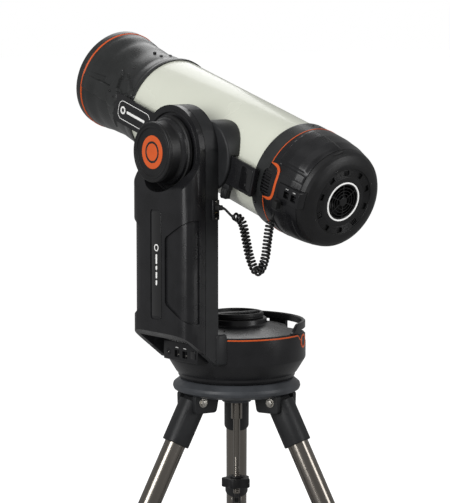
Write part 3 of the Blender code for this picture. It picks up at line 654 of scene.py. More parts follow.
def optics():
    plate = ring_profile(0.0425, 0.0785, 0.3000, 0.3060)
    turned("corrector_plate", plate, GLASS, "tube", TUBE, FINE, True, nodes=["corrector_plate"],
           slot="coated_glass", edge=0.0004)
    retainer = [(0.0745, 0.3062), (0.0788, 0.3062), (0.0788, 0.3110), (0.0752, 0.3110), (0.0745, 0.3080)]
    turned("corrector_retainer", retainer, SATIN, "tube", TUBE, FINE, True, slot="black_metal")
    for i in range(6):
        place = TUBE @ Matrix.Translation((*polar(0.0769, math.radians(60 * i + 15), 0)[:2], 0.3110))
        screw_head(f"retainer_screw_{i}", "tube", place, 0.0018, 0.0010)

    barrel = [
        (0, 0.3558), (0.0180, 0.3558), (0.0185, 0.3550), (0.0370, 0.3550), (0.0392, 0.3556),
        (0.0400, 0.3545), (0.0400, 0.3480), (0.0385, 0.3475), (0.0385, 0.3455), (0.0400, 0.3450),
        (0.0400, 0.3400), (0.0385, 0.3395), (0.0385, 0.3380), (0.0400, 0.3375), (0.0400, 0.3240),
        (0.0385, 0.3235), (0.0385, 0.3215), (0.0400, 0.3210), (0.0400, 0.3110), (0.0480, 0.3105),
        (0.0480, 0.3065), (0.0424, 0.3062), (0.0400, 0.3060), (0.0400, 0.2600), (0.0300, 0.2450),
        (0.0220, 0.2450), (0.0200, 0.3000), (0, 0.3000),
    ]
    slot = block_mesh("drawer_slot", (-0.0158, -0.0278, 0.3281), (0.0600, 0.0278, 0.3359), 0.0006)
    body = combined("camera_barrel", turned_mesh("camera_barrel", barrel, MEDIUM, edge=0.0005),
                    less(slot))
    add_piece("camera_barrel", body, SATIN, "tube", TUBE, ["camera_barrel"], "black_metal")
    window = turned_mesh("window", ring_profile(0, 0.018, 0.40, 0.30), SMALL, edge=0)
    drawer = combined("filter_drawer",
                      block_mesh("filter_drawer", (-0.0150, -0.0272, 0.3285), (0.0415, 0.0272, 0.3355)),
                      less(window, Matrix.Translation((0.008, 0, 0))))
    add_piece("filter_drawer", drawer, PLASTIC, "filter_drawer", TUBE, ["filter_drawer"], "black_plastic")
    tab = block_mesh("drawer_tab", (0.0405, -0.0120, 0.3295), (0.0420, 0.0120, 0.3345), 0.0005)
    add_piece("drawer_tab", tab, ORANGE, "filter_drawer", TUBE, slot="orange_plastic")
    filter_cell = ring_profile(0.0155, 0.0178, 0.3305, 0.3340)
    turned("filter_cell", filter_cell, SATIN, "filter_drawer", TUBE @ Matrix.Translation((0.008, 0, 0)),
           SMALL, True, slot="black_metal", edge=0.0003)

    focal_length = 0.335
    bowl = []
    for i in range(24):
        radius = 0.0200 + 0.0560 * i / 23
        bowl.append((radius, -0.2050 + radius * radius / (2 * focal_length)))
    mirror = bowl + [(0.0760, -0.2250), (0.0200, -0.2250)]
    turned("primary_mirror", mirror, MIRROR, "primary_mirror", TUBE, FINE, True, nodes=["primary_mirror"],
           slot="mirror_coat", edge=0.0003)


def tube_shell():
    profile = ring_profile(0.0892, 0.0910, -0.1555, 0.2118)
    turned("main_tube", profile, CREAM, "tube", TUBE, 240, True, nodes=["main_tube"], slot="cream_paint",
           edge=0.0004)
    lining = ring_profile(0.0888, 0.0891, -0.1555, 0.2118)
    turned("tube_lining", lining, DARK, "tube", TUBE, FINE, True, slot="black_metal", edge=0)


def ribbon_mesh(name, path, radius_at, thickness):
    """A band on the tube along points of (degrees, station, width)."""
    places = []
    for degrees, station, width in path:
        places.append((Vector((math.radians(degrees) * 0.0945, station)), width))
    rows = []
    for i, (point, width) in enumerate(places):
        ahead = places[min(i + 1, len(places) - 1)][0] - places[max(i - 1, 0)][0]
        across = Vector((-ahead.y, ahead.x)).normalized() * width / 2
        row = []
        for side, height in ((-1, -0.0015), (-1, thickness * 0.6), (-0.6, thickness), (0.6, thickness),
                             (1, thickness * 0.6), (1, -0.0015)):
            spot = point + across * side
            row.append(polar(radius_at(spot.y) + height, spot.x / 0.0945, spot.y))
        rows.append(row)
    return grid_mesh(name, rows, caps=True)


REAR_NODES = [
    (-0.2650, 0.0870), (-0.2450, 0.0920), (-0.2200, 0.0949), (-0.2000, REAR_R), (-0.1860, 0.0953),
    (-0.1570, REAR_R),
]


def rear_radius(station):
    """Radius of the rear shell and ring, straight between their CAD circles."""
    for (start, first), (end, second) in zip(REAR_NODES, REAR_NODES[1:]):
        if station <= end:
            return first + (second - first) * (max(station, start) - start) / (end - start)
    return REAR_NODES[-1][1]


def hood_panel(station, angle):
    """A panel raised on the shell's top quarter, with a shallow label recess beside it."""
    degrees = math.degrees(angle) % 360
    edge_station = -0.1930 - 0.0080 * smooth(98, 149, degrees)
    inside = smooth(96, 99, degrees) * (1 - smooth(147.5, 150, degrees))
    raised = 0.0022 * inside * (1 - smooth(edge_station - 0.0014, edge_station, station))
    raised *= smooth(-0.2650, -0.2560, station)
    recess = smooth(151.5, 153.0, degrees) * (1 - smooth(160.0, 161.5, degrees))
    recess *= (1 - smooth(-0.2065, -0.2045, station)) * smooth(-0.2650, -0.2620, station)
    rib = smooth(200, 201.5, degrees) * (1 - smooth(262, 263.5, degrees))
    rib *= (1 - smooth(-0.2080, -0.2060, station)) * smooth(-0.2560, -0.2540, station)
    return raised - 0.0020 * recess - 0.0009 * rib


def rear_shells():
    seat_outline = rounded_rectangle(0.0110, 0.0232, 0.0095, (VENT_Y, VENT_Z))
    seat_place = HEAD @ Matrix(((0, 0, -1, 0), (1, 0, 0, 0), (0, 1, 0, 0), (0, 0, 0, 1)))

    ring = [(0.0914, -0.1560, 0), (0.0945, -0.1560, 0), (0.0953, -0.1566, 0), (REAR_R, -0.1576, 0)]
    ring += [(rear_radius(-0.1576 - 0.0284 * i / 16), -0.1576 - 0.0284 * i / 16, 0) for i in range(1, 17)]
    ring += [(0.0780, -0.1860, 0), (0.0780, -0.1640, 0), (0.0914, -0.1640, 0)]
    ring_mesh = shaped_ring("rear_ring", ring, lambda station, angle: 0.0, 240)
    seat = prism_mesh("seat", [seat_outline], 0.0700, 0.1200, 0)
    ring_mesh = combined("rear_ring", ring_mesh, less(seat, TUBE.inverted() @ seat_place))
    add_piece("rear_ring", ring_mesh, CELL_PAINT, "tube", TUBE, ["rear_ring"], "black_metal", 28)
    for i, (angle, station) in enumerate(((87, -0.1690), (84, -0.1800), (205, -0.1630))):
        screw_head(f"ring_screw_{i}", "tube", on_tube(angle, station, 0.0951), 0.0022, 0.0014, GLOSS,
                   "black_metal")

    shell = [(0.0915, -0.1864, 0), (0.0948, -0.1864, 0)]
    count = 44
    for i in range(count + 1):
        station = -0.1872 - (0.2648 - 0.1872) * i / count
        shell.append((rear_radius(station), station, 1))
    shell += [(0.0830, -0.2650, 0), (0.0880, -0.2440, 0), (0.0915, -0.2180, 0)]
    shell_mesh = shaped_ring("rear_shell", shell, hood_panel, 360)
    seat = prism_mesh("seat", [seat_outline], 0.0700, 0.1200, 0)
    port_seat = block_mesh("port_seat", (-0.12, -0.2780, -0.0065), (-0.0700, -0.2220, 0.0220), 0)
    shell_mesh = combined(
        "rear_shell", shell_mesh, less(seat, TUBE.inverted() @ seat_place),
        less(port_seat, TUBE.inverted() @ HEAD),
    )
    add_piece("rear_shell", shell_mesh, SATIN, "tube", TUBE, ["rear_shell"], "black_plastic", 28)

    thin = 0.0017
    thick = 0.0050
    path = []
    for degrees in range(194, 516, 2):
        path.append((degrees, TRIM_STATION, thin))
    middle = 173.8 + 360
    for i in range(49):
        t = math.pi * i / 48
        across = -math.copysign(abs(math.cos(t)) ** 0.55, math.cos(t))
        depth = abs(math.sin(t)) ** 0.55
        width = thin + (thick - thin) * smooth(0.0, 0.5, depth)
        path.append((middle + 18.3 * across, TRIM_STATION - 0.0258 * depth, width))
    path.append((194 + 360, TRIM_STATION, thin))
    trim = ribbon_mesh("rear_trim", path, rear_radius, 0.0007)
    add_piece("rear_trim", trim, ORANGE, "tube", TUBE, slot="orange_plastic")


def vent_grille():
    """An oval recess with bars along the tube."""
    low = (-0.0838, VENT_Y - 0.0118, VENT_Z - 0.0240)
    high = (-0.0822, VENT_Y + 0.0118, VENT_Z + 0.0240)
    floor = block_mesh("vent_floor", low, high, 0.0006)
    add_piece("vent_grille", floor, DARK, "tube", HEAD, ["vent_grille"], "black_plastic")
    bars = 8
    for i in range(bars):
        across = (i - (bars - 1) / 2) * 0.0054
        reach = 0.0109 if abs(across) < 0.015 else 0.0086
        height = VENT_Z + across
        surface_x = TUBE_X - math.sqrt(REAR_R**2 - (height - TUBE_Z) ** 2)
        low = (surface_x + 0.0003, VENT_Y - reach, height - 0.0013)
        high = (-0.0834, VENT_Y + reach, height + 0.0013)
        block(f"vent_bar_{i}", low, high, SATIN, "tube", HEAD, 0.0006)


def ports():
    body = block_mesh("port_block", (-0.0900, -0.2776, -0.0061), (-0.0706, -0.2224, 0.0216), 0.0012)
    cuts = []
    stations = (-0.2455, -0.2640)
    for station in stations:
        low = (-0.12, station - 0.0062, 0.0012)
        high = (-0.0815, station + 0.0062, 0.0130)
        cuts.append(less(block_mesh("hole", low, high, 0.0008)))
    mesh = combined("port_block", body, *cuts)
    add_piece("port_block", mesh, SATIN, "tube", HEAD, ["port_block"], "black_plastic")
    block("port_ledge", (-0.0899, -0.2750, -0.0061), (-0.0880, -0.2240, -0.0030), SATIN, "tube", HEAD,
          0.0005)
    for i, station in enumerate(stations):
        block(f"port_tongue_{i}", (-0.0868, station - 0.0040, 0.0062), (-0.0816, station + 0.0040, 0.0078),
              PLASTIC, "tube", HEAD, 0.0003)
        block(f"port_mark_{i}", (-0.09015, station - 0.0034, 0.0170), (-0.0899, station + 0.0034, 0.0177),
              INK, "tube", HEAD, 0.0001, slot="white_lens")


def rear_cap():
    profile = [(0.0290, -0.2622), (0.0820, -0.2622), (0.0823, -0.2655), (0.0868, -0.2655),
               (0.0863, -0.2680)]
    profile += [(0.0840, -0.2740), (0.0800, -0.2790), (0.0740, -0.2825), (0.0680, -0.2844),
                (0.0640, -0.2850)]
    profile += [(0.0590, -0.2850), (0.0586, CAP_FACE)]
    for i in range(7):
        radius = 0.0575 - 0.0022 * i
        profile += [(radius + 0.0009, CAP_FACE), (radius + 0.0005, -0.2831), (radius - 0.0005, -0.2831),
                    (radius - 0.0009, CAP_FACE)]
    profile += [(0.0358, CAP_FACE), (0.0353, -0.2829), (0.0312, -0.2829), (0.0308, CAP_FACE),
                (0.0296, CAP_FACE), (0.0290, -0.2828)]
    cap = turned_mesh("rear_cap", profile, FINE, True, 0.0003)
    cuts = []
    vents = 10
    for i in range(vents):
        turn = Matrix.Rotation(math.radians(36 * i + 12), 4, "Z")
        hole = prism_mesh("hole", [rounded_rectangle(0.0046, 0.0056, 0.0016, (0.0515, 0))], -0.30, -0.2795,
                          0)
        cuts.append(less(hole, turn))
    port_seat = block_mesh("port_seat", (-0.12, -0.2780, -0.0065), (-0.0700, -0.2220, 0.0220), 0)
    cuts.append(less(port_seat, TUBE.inverted() @ HEAD))
    mesh = combined("rear_cap", cap, *cuts)
    add_piece("rear_cap", mesh, PLASTIC, "tube", TUBE, ["rear_cap"], "black_plastic", 28)
    for i in range(vents):
        turn = TUBE @ Matrix.Rotation(math.radians(36 * i + 12), 4, "Z")
        if i % 3 == 1:
            for j in range(3):
                block(f"vent_slat_{i}_{j}", (0.0474, -0.0040 + 0.0030 * j, -0.2828),
                      (0.0556, -0.0024 + 0.0030 * j, -0.2800), PLASTIC, "tube", turn, 0.0003)
    for i, degrees in enumerate((28, 118, 208, 298)):
        place = TUBE @ Matrix.Translation((*polar(0.0615, math.radians(degrees), 0)[:2], -0.2850))
        screw_head(f"cap_screw_{i}", "tube", place @ Matrix.Rotation(math.pi, 4, "X"), 0.0022, 0.0006,
                   GLOSS, "black_metal")
    light = [(0.0319, -0.2830), (0.0346, -0.2830), (0.0346, -0.2841), (0.0341, -0.2846), (0.0324, -0.2846)]
    light.append((0.0319, -0.2841))
    turned("light_ring", light, LENS, "tube", TUBE, FINE, True, nodes=["light_ring"], slot="white_lens",
           edge=0.0002)
    slit = block_mesh("shell_slot", (-0.0006, -0.0100, -0.0010), (0.0026, 0.0100, 0.0008), 0.0006)
    add_piece("shell_slot", slit, DARK, "tube", on_tube(105, -0.2718, 0.0853), slot="black_plastic")


def fan_and_guard():
    hub = turned_mesh("fan",
                      [(0, -0.2680), (0.0110, -0.2680), (0.0110, -0.2795), (0.0100, -0.2800), (0, -0.2800)],
                      SMALL)
    unions = []
    blades = 7
    for i in range(blades):
        rows = []
        for j in range(8):
            radius = 0.0095 + (0.0272 - 0.0095) * j / 7
            pitch = 0.75 - 0.25 * j / 7
            chord = 0.0055 + 0.0020 * j / 7
            lead = 0.0025 * j / 7
            row = []
            for k in range(10):
                angle = 2 * math.pi * k / 10
                x = chord * math.cos(angle) + lead
                y = 0.0006 * math.sin(angle) + 0.0008 * (1 - math.cos(angle) ** 2)
                row.append((radius, x * math.cos(pitch) - y * math.sin(pitch),
                            x * math.sin(pitch) + y * math.cos(pitch)))
            rows.append(row)
        mesh = grid_mesh("blade", rows, caps=True)
        place = Matrix.Translation((0, 0, -0.2740)) @ Matrix.Rotation(2 * math.pi * i / blades, 4, "Z")
        unions.append(plus(mesh, place))
    add_piece("fan", combined("fan", hub, *unions), PLASTIC, "fan", TUBE, ["fan"], "black_plastic")

    guard = turned_mesh("guard",
                        [(0, -0.2812), (0.0080, -0.2812), (0.0080, -0.2838), (0.0070, -0.2845),
                         (0, -0.2845)], SMALL)
    parts = []
    for radius in (0.0135, 0.0190, 0.0245):
        inner = radius - 0.0005
        outer = radius + 0.0005
        band = ring_profile(inner, outer, -0.2815, -0.2835)
        ring = turned_mesh("ring", band, MEDIUM, True, 0.0003)
        parts.append(plus(ring))
    for i in range(6):
        spoke = block_mesh("spoke", (0.0070, -0.0008, -0.2832), (0.0296, 0.0008, -0.2816), 0.0003)
        parts.append(plus(spoke, Matrix.Rotation(math.radians(60 * i + 20), 4, "Z")))
    add_piece("fan_guard", combined("fan_guard", guard, *parts), PLASTIC, "tube", TUBE,
              slot="black_plastic")


def dovetail():
    profile = [(BAR_FACE_X, -0.0236), (-0.0958, -0.0236), (-0.0902, -0.0196), (-0.0902, 0.0226),
               (-0.0958, 0.0266), (BAR_FACE_X, 0.0266)]
    bar = prism_mesh("dovetail_bar", [profile], -0.2358, 0.1698, 0.0009)
    add_piece("dovetail_bar", bar, SATIN, "tube", HEAD @ XZ_PLANE, ["dovetail_bar"], "black_metal")
    plate = HEAD @ Matrix.Translation((BAR_FACE_X, 0, 0)) @ YZ_PLANE
    raise_by = 0.00025

    def line(name, centre, half, radius, width):
        outer = rounded_rectangle(half[0], half[1], radius, centre)
        inner = rounded_rectangle(half[0] - width, half[1] - width, radius - width, centre)
        prism(name, [outer, inner], -raise_by, 0.0002, INK, "tube", plate, 0.00005, slot="white_lens")

    line("label_line", (0.1770, 0.0015), (0.0475, 0.0170), 0.0120, 0.0011)
    line("label_line_rear", (0.1100, 0.0015), (0.0170, 0.0170), 0.0120, 0.0011)
    emblem = [circle(0.0072, 40, (0.2105, 0.0015)), circle(0.0040, 40, (0.2105, 0.0015))]
    prism("label_emblem", emblem, -raise_by, 0.0002, INK, "tube", plate, 0.00005, slot="white_lens")
    start, end = 0.1440, 0.1985
    bar = rounded_rectangle((end - start) / 2, 0.0024, 0.0015, ((start + end) / 2, 0.0015))
    prism("label_bar_0", [bar], -raise_by, 0.0002, INK, "tube", plate, 0.00005, slot="white_lens")
    end_plate = rounded_rectangle(0.0150, 0.0200, 0.0050, (-0.1510, 0.0015))
    prism("bar_end_plate", [end_plate], -0.0008, 0.0010, GLOSS, "tube", plate, 0.0004, slot="black_metal")
    for i, z in enumerate((-0.0090, 0.0120)):
        place = HEAD @ Matrix.Translation((BAR_FACE_X - 0.0006, -0.1510, z)) @ TO_MINUS_X
        screw_head(f"bar_screw_{i}", "tube", place, 0.0030, 0.0012, GLOSS, "black_metal")


def tube_space():
    """The room that the saddle and its jaw leave for the tube."""
    return turned_mesh("space", ring_profile(0, TUBE_R + 0.0012, 0.3, -0.3), 240, edge=0)


def saddle():
    disc = turned_mesh("saddle", [
        (0, ARM_INNER_X + 0.0004), (0.0560, ARM_INNER_X + 0.0004), (0.0598, ARM_INNER_X + 0.0010),
        (0.0616, ARM_INNER_X + 0.0026), (0.0620, ARM_INNER_X + 0.0045), (0.0620, -0.0512),
        (0.0612, -0.0500), (0, -0.0500),
    ], FINE, edge=0.0010)
    seat = Matrix.Translation((0, SADDLE_Y, SADDLE_Z)) @ TO_X
    place = HEAD.inverted()
    space = tube_space()
    bar = block_mesh("bar", (-0.1004, -0.20, -0.0240), (0, 0.20, 0.0270), 0)
    jaw = block_mesh("jaw", (-0.1004, -0.20, -0.20), (0, 0.20, 0), 0)
    back = seat.inverted()
    mesh = combined("saddle", disc, less(space, back @ place @ TUBE), less(bar, back),
                    less(jaw, back))
    mesh = softened(mesh, 0.0007)
    add_piece("saddle", mesh, CASTING, "tube", HEAD @ seat, ["saddle"], "black_metal", 30)

    jaw_body = block_mesh("saddle_jaw", (-0.0999, -0.1118, -0.0343), (-0.0896, 0.0398, -0.0244), 0.0012)
    space = tube_space()
    mesh = combined("saddle_jaw", jaw_body, less(space, place @ TUBE))
    add_piece("saddle_jaw", mesh, CASTING, "saddle_jaw", HEAD, ["saddle_jaw"], "black_metal")
    knob_place = HEAD @ Matrix.Translation((-0.0900, -0.096, 0))
    prism("jaw_knob", [lobed(6, 0.0092, 0.0014)], -0.0528, -0.0348, PLASTIC, "jaw_knob", knob_place, 0.0009,
          nodes=["jaw_knob"])


# ---- arm


def arm_plan(inner_x, outer_x, half_width=ARM_HALF_WIDTH, power=5.0, count=64):
    """Plan of the arm's outer shell, half of a rounded rectangle that follows a superellipse."""
    outline = []
    for i in range(count + 1):
        angle = math.pi * i / count - math.pi / 2
        across = math.copysign(abs(math.sin(angle)) ** (2 / power), math.sin(angle))
        out = abs(math.cos(angle)) ** (2 / power)
        outline.append((inner_x - (inner_x - outer_x) * out, half_width * across))
    return outline


def arm_side(half_width, low, count):
    """Side outline of the arm, round at the head."""
    return arc((0, ALT_Z), half_width, 0, 180, count) + [(-half_width, low), (half_width, low)]


def shaft_hole(radius, start, end):
    return turned_mesh("hole", ring_profile(0, radius, end, start), 64, edge=0)


# the arm's sloping underside, which rises outward from the foot of its inner face
ARM_UNDERSIDE = Matrix.Translation((ARM_INNER_X, 0, 0.643)) @ Matrix.Rotation(math.radians(38.5), 4, "Y")


def arm_shell():
    head_face = KNOB_BACK_X + 0.0010
    shoulder = ALT_Z - 0.075
    above = [(-0.30, shoulder), (ARM_OUTER_X, shoulder)]
    for i in range(1, 9):
        t = i / 8
        above.append((ARM_OUTER_X + (head_face - ARM_OUTER_X) * smooth(0, 1, t), shoulder + 0.063 * t))
    above += [(head_face, 1.2), (-0.30, 1.2)]

    shell = prism_mesh("arm_shell", [arm_plan(ARM_SPLIT_X - GAP, ARM_OUTER_X)], 0.61, 1.15, 0)
    side = prism_mesh("side", [arm_side(ARM_HALF_WIDTH, 0.62, 96)], -0.25, -0.05, 0)
    cuts = [
        ("INTERSECT", side, YZ_PLANE),
        less(prism_mesh("cavity", [arm_side(0.0690, 0.705, 24)], -0.1420, -0.1120, 0), YZ_PLANE),
        less(block_mesh("deep", (-0.166, -0.066, 0.600), (-0.1340, 0.066, 0.925), 0)),
        less(block_mesh("under", (-0.20, -0.15, -0.10), (0.10, 0.15, 0.0), 0), ARM_UNDERSIDE),
        less(prism_mesh("brow", [above], -0.15, 0.15, 0), XZ_PLANE),
        less(shaft_hole(0.0690, -0.20, head_face + 0.0020), AT_AXIS),
        less(shaft_hole(0.0185, -0.20, -0.09), AT_AXIS),
    ]
    panel_depth = 0.0030
    for way in (-1, 1):
        face = [(way * y, z) for y, z in (
            (0.0240, 0.7530), (0.0240, 0.8670), (0.0800, 0.9000), (0.1000, 0.9000), (0.1000, 0.7200),
            (0.0800, 0.7200),
        )]
        plan = arm_plan(ARM_SPLIT_X, ARM_OUTER_X + panel_depth, ARM_HALF_WIDTH - panel_depth)
        inside = prism_mesh("inside", [plan], 0.60, 1.0, 0)
        recess = combined("panel", prism_mesh("panel", [rounded(face, 0.006, True, 5)], -0.21, -0.1480, 0),
                          less(inside, FROM_YZ))
        cuts.append(less(recess, YZ_PLANE))
    spine = prism_mesh("spine", [rounded_rectangle(0.0160, 0.0955, 0.0060, (0, 0.8185))], -0.20, -0.1787, 0)
    cuts.append(less(spine, YZ_PLANE))
    grip = block_mesh("grip", (-0.1446, 0.0705, 0.7380), (-0.1356, 0.0900, 0.8520), 0.0015)
    cuts.append(less(grip))
    mesh = softened(combined("arm_shell", shell, *cuts), 0.0012, 3, 30)
    add_piece("arm_shell", mesh, SATIN, "turntable", MOUNT, ["arm_shell"], "black_plastic", 40)

    lip = [(0.0672, head_face + 0.0005), (0.0716, head_face + 0.0005), (0.0722, head_face - 0.0004),
           (0.0716, head_face - 0.0012), (0.0682, head_face - 0.0012), (0.0672, head_face - 0.0002)]
    turned("pocket_lip", lip, SATIN, "turntable", MOUNT @ AT_AXIS, FINE, True, edge=0.0003,
           slot="black_plastic")


def arm_details():
    strip = rounded_rectangle(0.0135, 0.0930, 0.0050, (0, 0.8185))
    prism("spine_strip", [strip], -0.1793, -0.1780, GLOSS, "turntable", MOUNT @ YZ_PLANE, 0.0004)
    dot = [circle(0.0062, 40, (0, 0.8480)), circle(0.0042, 40, (0, 0.8480))]
    prism("spine_ring", dot, -0.17955, -0.1790, INK, "turntable", MOUNT @ YZ_PLANE, 0.00005,
          slot="white_lens")
    for i, (low, high) in enumerate(((0.7950, 0.8060), (0.8095, 0.8165), (0.8200, 0.8370),
                                     (0.7830, 0.7915))):
        bar = rounded_rectangle(0.0021, (high - low) / 2, 0.0015, (0, (low + high) / 2))
        prism(f"spine_bar_{i}", [bar], -0.17955, -0.1790, INK, "turntable", MOUNT @ YZ_PLANE, 0.00005,
              slot="white_lens")
    block("spine_lip", (-0.1799, -0.0120, 0.7262), (-0.1780, 0.0120, 0.7286), SATIN, "turntable", MOUNT,
          0.0005)
    block("grip_bar", (-0.1442, 0.0718, 0.7392), (-0.1372, 0.0796, 0.8508), GLOSS, "turntable", MOUNT,
          0.0022)


def arm_frame():
    drum = turned_mesh("drum", ring_profile(0, DRUM_R + 0.0003, 0.7115, 0.55), 200, edge=0)
    frame_mesh = prism_mesh("arm_frame", [arm_side(ARM_HALF_WIDTH, 0.62, 96)], ARM_SPLIT_X + 0.0004,
                            ARM_INNER_X, 0)
    foot = block_mesh("foot", (-0.1124, -0.0845, 0.6440), (-0.0880, 0.0845, 0.6995), 0.0060)
    cuts = [
        plus(foot, FROM_YZ),
        less(prism_mesh("cavity", [arm_side(0.0690, 0.705, 24)], -0.1420, -0.1120, 0)),
        less(drum, FROM_YZ),
        less(block_mesh("port", (-0.166, -0.066, 0.60), (-0.100, 0.066, 0.695), 0), FROM_YZ),
        less(block_mesh("under", (-0.20, -0.15, -0.10), (0.10, 0.15, 0.0), 0), FROM_YZ @ ARM_UNDERSIDE),
        less(shaft_hole(0.0185, -0.20, -0.09), FROM_YZ @ AT_AXIS),
    ]
    mesh = softened(combined("arm_frame", frame_mesh, *cuts), 0.0010, 3, 30)
    add_piece("arm_frame", mesh, CASTING, "turntable", MOUNT @ YZ_PLANE, ["arm_frame"], "grey_casting", 40)
    ring = [(0.0190, ARM_INNER_X - 0.0010), (0.0260, ARM_INNER_X - 0.0010), (0.0270, ARM_INNER_X - 0.0002),
            (0.0270, ARM_INNER_X + 0.0002), (0.0190, ARM_INNER_X + 0.0002)]
    turned("shaft_collar", ring, SATIN, "turntable", MOUNT @ AT_AXIS, MEDIUM, True, edge=0.0002)

    socket = block_mesh("arm_socket", (-0.1229, -0.0854, 0.8981), (-0.1081, -0.0804, 0.9329), 0.0014)
    hole = block_mesh("hole", (-0.1190, -0.0900, 0.9040), (-0.1110, -0.0812, 0.9120), 0.0006)
    mesh = combined("arm_socket", socket, less(hole))
    add_piece("arm_socket", mesh, SATIN, "turntable", MOUNT, ["arm_socket"], "black_plastic")
    for i in range(4):
        low = (-0.1182 + 0.0018 * i, -0.0836, 0.9105)
        high = (-0.1174 + 0.0018 * i, -0.0818, 0.9118)
        block(f"socket_contact_{i}", low, high, BRASS, "turntable", MOUNT, 0.0002, slot="brass")
    for i, height in enumerate((0.9010, 0.9300)):
        place = MOUNT @ Matrix.Translation((-0.1155, -0.0853, height)) @ TO_MINUS_Y
        screw_head(f"socket_screw_{i}", "turntable", place, 0.0014, 0.0005)


def altitude_knob():
    back = KNOB_BACK_X
    profile = [
        (0, back), (0.0600, back), (0.0618, back - 0.0010), (0.0620, back - 0.0022),
        (0.0612, back - 0.0034), (0.0612, back - 0.0042), (0.0620, back - 0.0050), (0.0612, -0.1545),
        (0.0585, -0.1555), (0.0572, -0.1600), (0.0530, -0.1652), (0.0522, -0.1664), (0.0522, -0.1838),
        (0.0514, -0.1843), (0.0514, -0.1853), (0.0522, -0.1858), (0.0518, -0.1884), (0.0504, -0.1897),
        (0.0475, -0.1897), (0.0470, -0.1890), (0.0458, -0.1890), (0.0454, -0.1897), (0.0422, -0.1897),
        (0.0412, -0.1875), (0, -0.1872),
    ]
    place = MOUNT @ AT_AXIS
    turned("altitude_knob", profile, PLASTIC, "altitude_knob", place, 200, nodes=["altitude_knob"],
           edge=0.0006)
    cone = [(0.0574, -0.1560), (0.0586, -0.1562), (0.0576, -0.1602), (0.0530, -0.1650), (0.0520, -0.1650)]
    turned("knob_cone", cone, SATIN, "altitude_knob", place, 200, True, edge=0.0003)
    disc = [(0, -0.1869), (0.0286, -0.1869), (0.0290, -0.1874), (0.0286, -0.1880), (0, -0.1880)]
    turned("knob_emblem", disc, ORANGE, "altitude_knob", place, MEDIUM, edge=0.0003, slot="orange_plastic")
    ring = [circle(0.0188, 64), circle(0.0150, 64)]
    prism("knob_emblem_ring", ring, -0.18825, -0.1876, GLOSS, "altitude_knob", place, 0.0001)


# ---- turning base


def sector_mesh(name, start, end, inner, outer, low, high, edge=0.0010):
    """A block bent round the azimuth axis between two angles in degrees."""
    steps = max(4, int((end - start) / 2))
    outline = arc((0, 0), outer, start, end, steps) + arc((0, 0), inner, end, start, steps)
    return prism_mesh(name, [outline], low, high, edge)


def base():
    profile = [
        (DRUM_R - 0.0042, DRUM_TOP_Z), (DRUM_R - 0.0008, DRUM_TOP_Z), (DRUM_R, DRUM_TOP_Z - 0.0010),
        (DRUM_R, 0.6440), (0.1224, 0.6410), (0.1085, 0.6182), (0.1046, 0.6140), (0.1040, 0.6100),
        (0.1010, BASE_Z), (0.0300, BASE_Z), (0.0300, BASE_Z + 0.006), (0.0960, BASE_Z + 0.006),
        (DRUM_R - 0.0035, 0.6440),
    ]
    housing = turned_mesh("base_housing", profile, 240, True, 0.0010)
    out = Matrix.Rotation(BUTTON_AZIMUTH, 4, "Z") @ TO_X
    hole = turned_mesh("hole", ring_profile(0, 0.0083, 0.135, 0.105), 48, edge=0)
    hole_place = Matrix.Translation((0, 0, BUTTON_Z)) @ out
    well = sector_mesh("well", *WELL, 0.0880, 0.1400, WELL_Z, 0.7500, 0)
    floor = sector_mesh("floor", WELL[0] - 2, WELL[1] + 2, 0.0846, 0.1222, WELL_Z - 0.0034, WELL_Z, 0.0004)
    inner_wall = sector_mesh("inner_wall", *WELL, 0.0846, 0.0880, WELL_Z - 0.0020, 0.6912, 0)
    first_end = sector_mesh("end", WELL[0] - 2, WELL[0], 0.0860, 0.1200, WELL_Z - 0.0020, 0.6872, 0)
    last_end = sector_mesh("end", WELL[1], WELL[1] + 2, 0.0860, 0.1200, WELL_Z - 0.0020, 0.6872, 0)
    mesh = combined("base_housing", housing, less(hole, hole_place), less(well),
                    plus(floor), plus(inner_wall), plus(first_end), plus(last_end))
    add_piece("base_housing", mesh, SATIN, "turntable", MOUNT, ["base_housing"], "black_plastic", 30)

    button_place = MOUNT @ Matrix.Translation((0, 0, BUTTON_Z)) @ out
    button = [(0, 0.1150), (0.0080, 0.1150), (0.0080, 0.1228), (0.0070, 0.1236), (0.0050, 0.1232),
              (0, 0.1230)]
    turned("power_button", button, SATIN, "power_button", button_place, SMALL, nodes=["power_button"],
           edge=0.0004)
    ring = [(0.0090, 0.1205), (0.0128, 0.1205), (0.0128, 0.1228), (0.0120, 0.1236), (0.0096, 0.1236),
            (0.0090, 0.1228)]
    turned("button_ring", ring, ORANGE, "turntable", button_place, SMALL, True, slot="orange_plastic",
           edge=0.0004)

    for side, start, end in (("near", -137, -63), ("far", 72, 137)):
        rows = []
        for degrees in range(start, end + 1):
            angle = math.radians(degrees)
            dip = 0.0090 * smooth(-69.5, -63, degrees) if side == "near" else 0
            row = []
            for radius, height in ((-0.0015, 0.0000), (0.0000, -0.0002), (0.0006, 0.0004), (0.0006, 0.0018),
                                   (0.0, 0.0024), (-0.0015, 0.0022)):
                reach = DRUM_R + radius
                row.append((reach * math.cos(angle), reach * math.sin(angle), 0.6858 - dip + height))
            rows.append(row)
        trim = grid_mesh("base_trim", rows, caps=True)
        add_piece(f"base_trim_{side}", trim, ORANGE, "turntable", MOUNT, slot="orange_plastic")
    battery = block_mesh("battery_pack", (0.0385, -0.0445, 0.6128), (0.0845, 0.0445, 0.6378), 0.003)
    add_piece("battery_pack", battery, PLASTIC, "turntable", MOUNT, ["battery_pack"], "black_plastic")


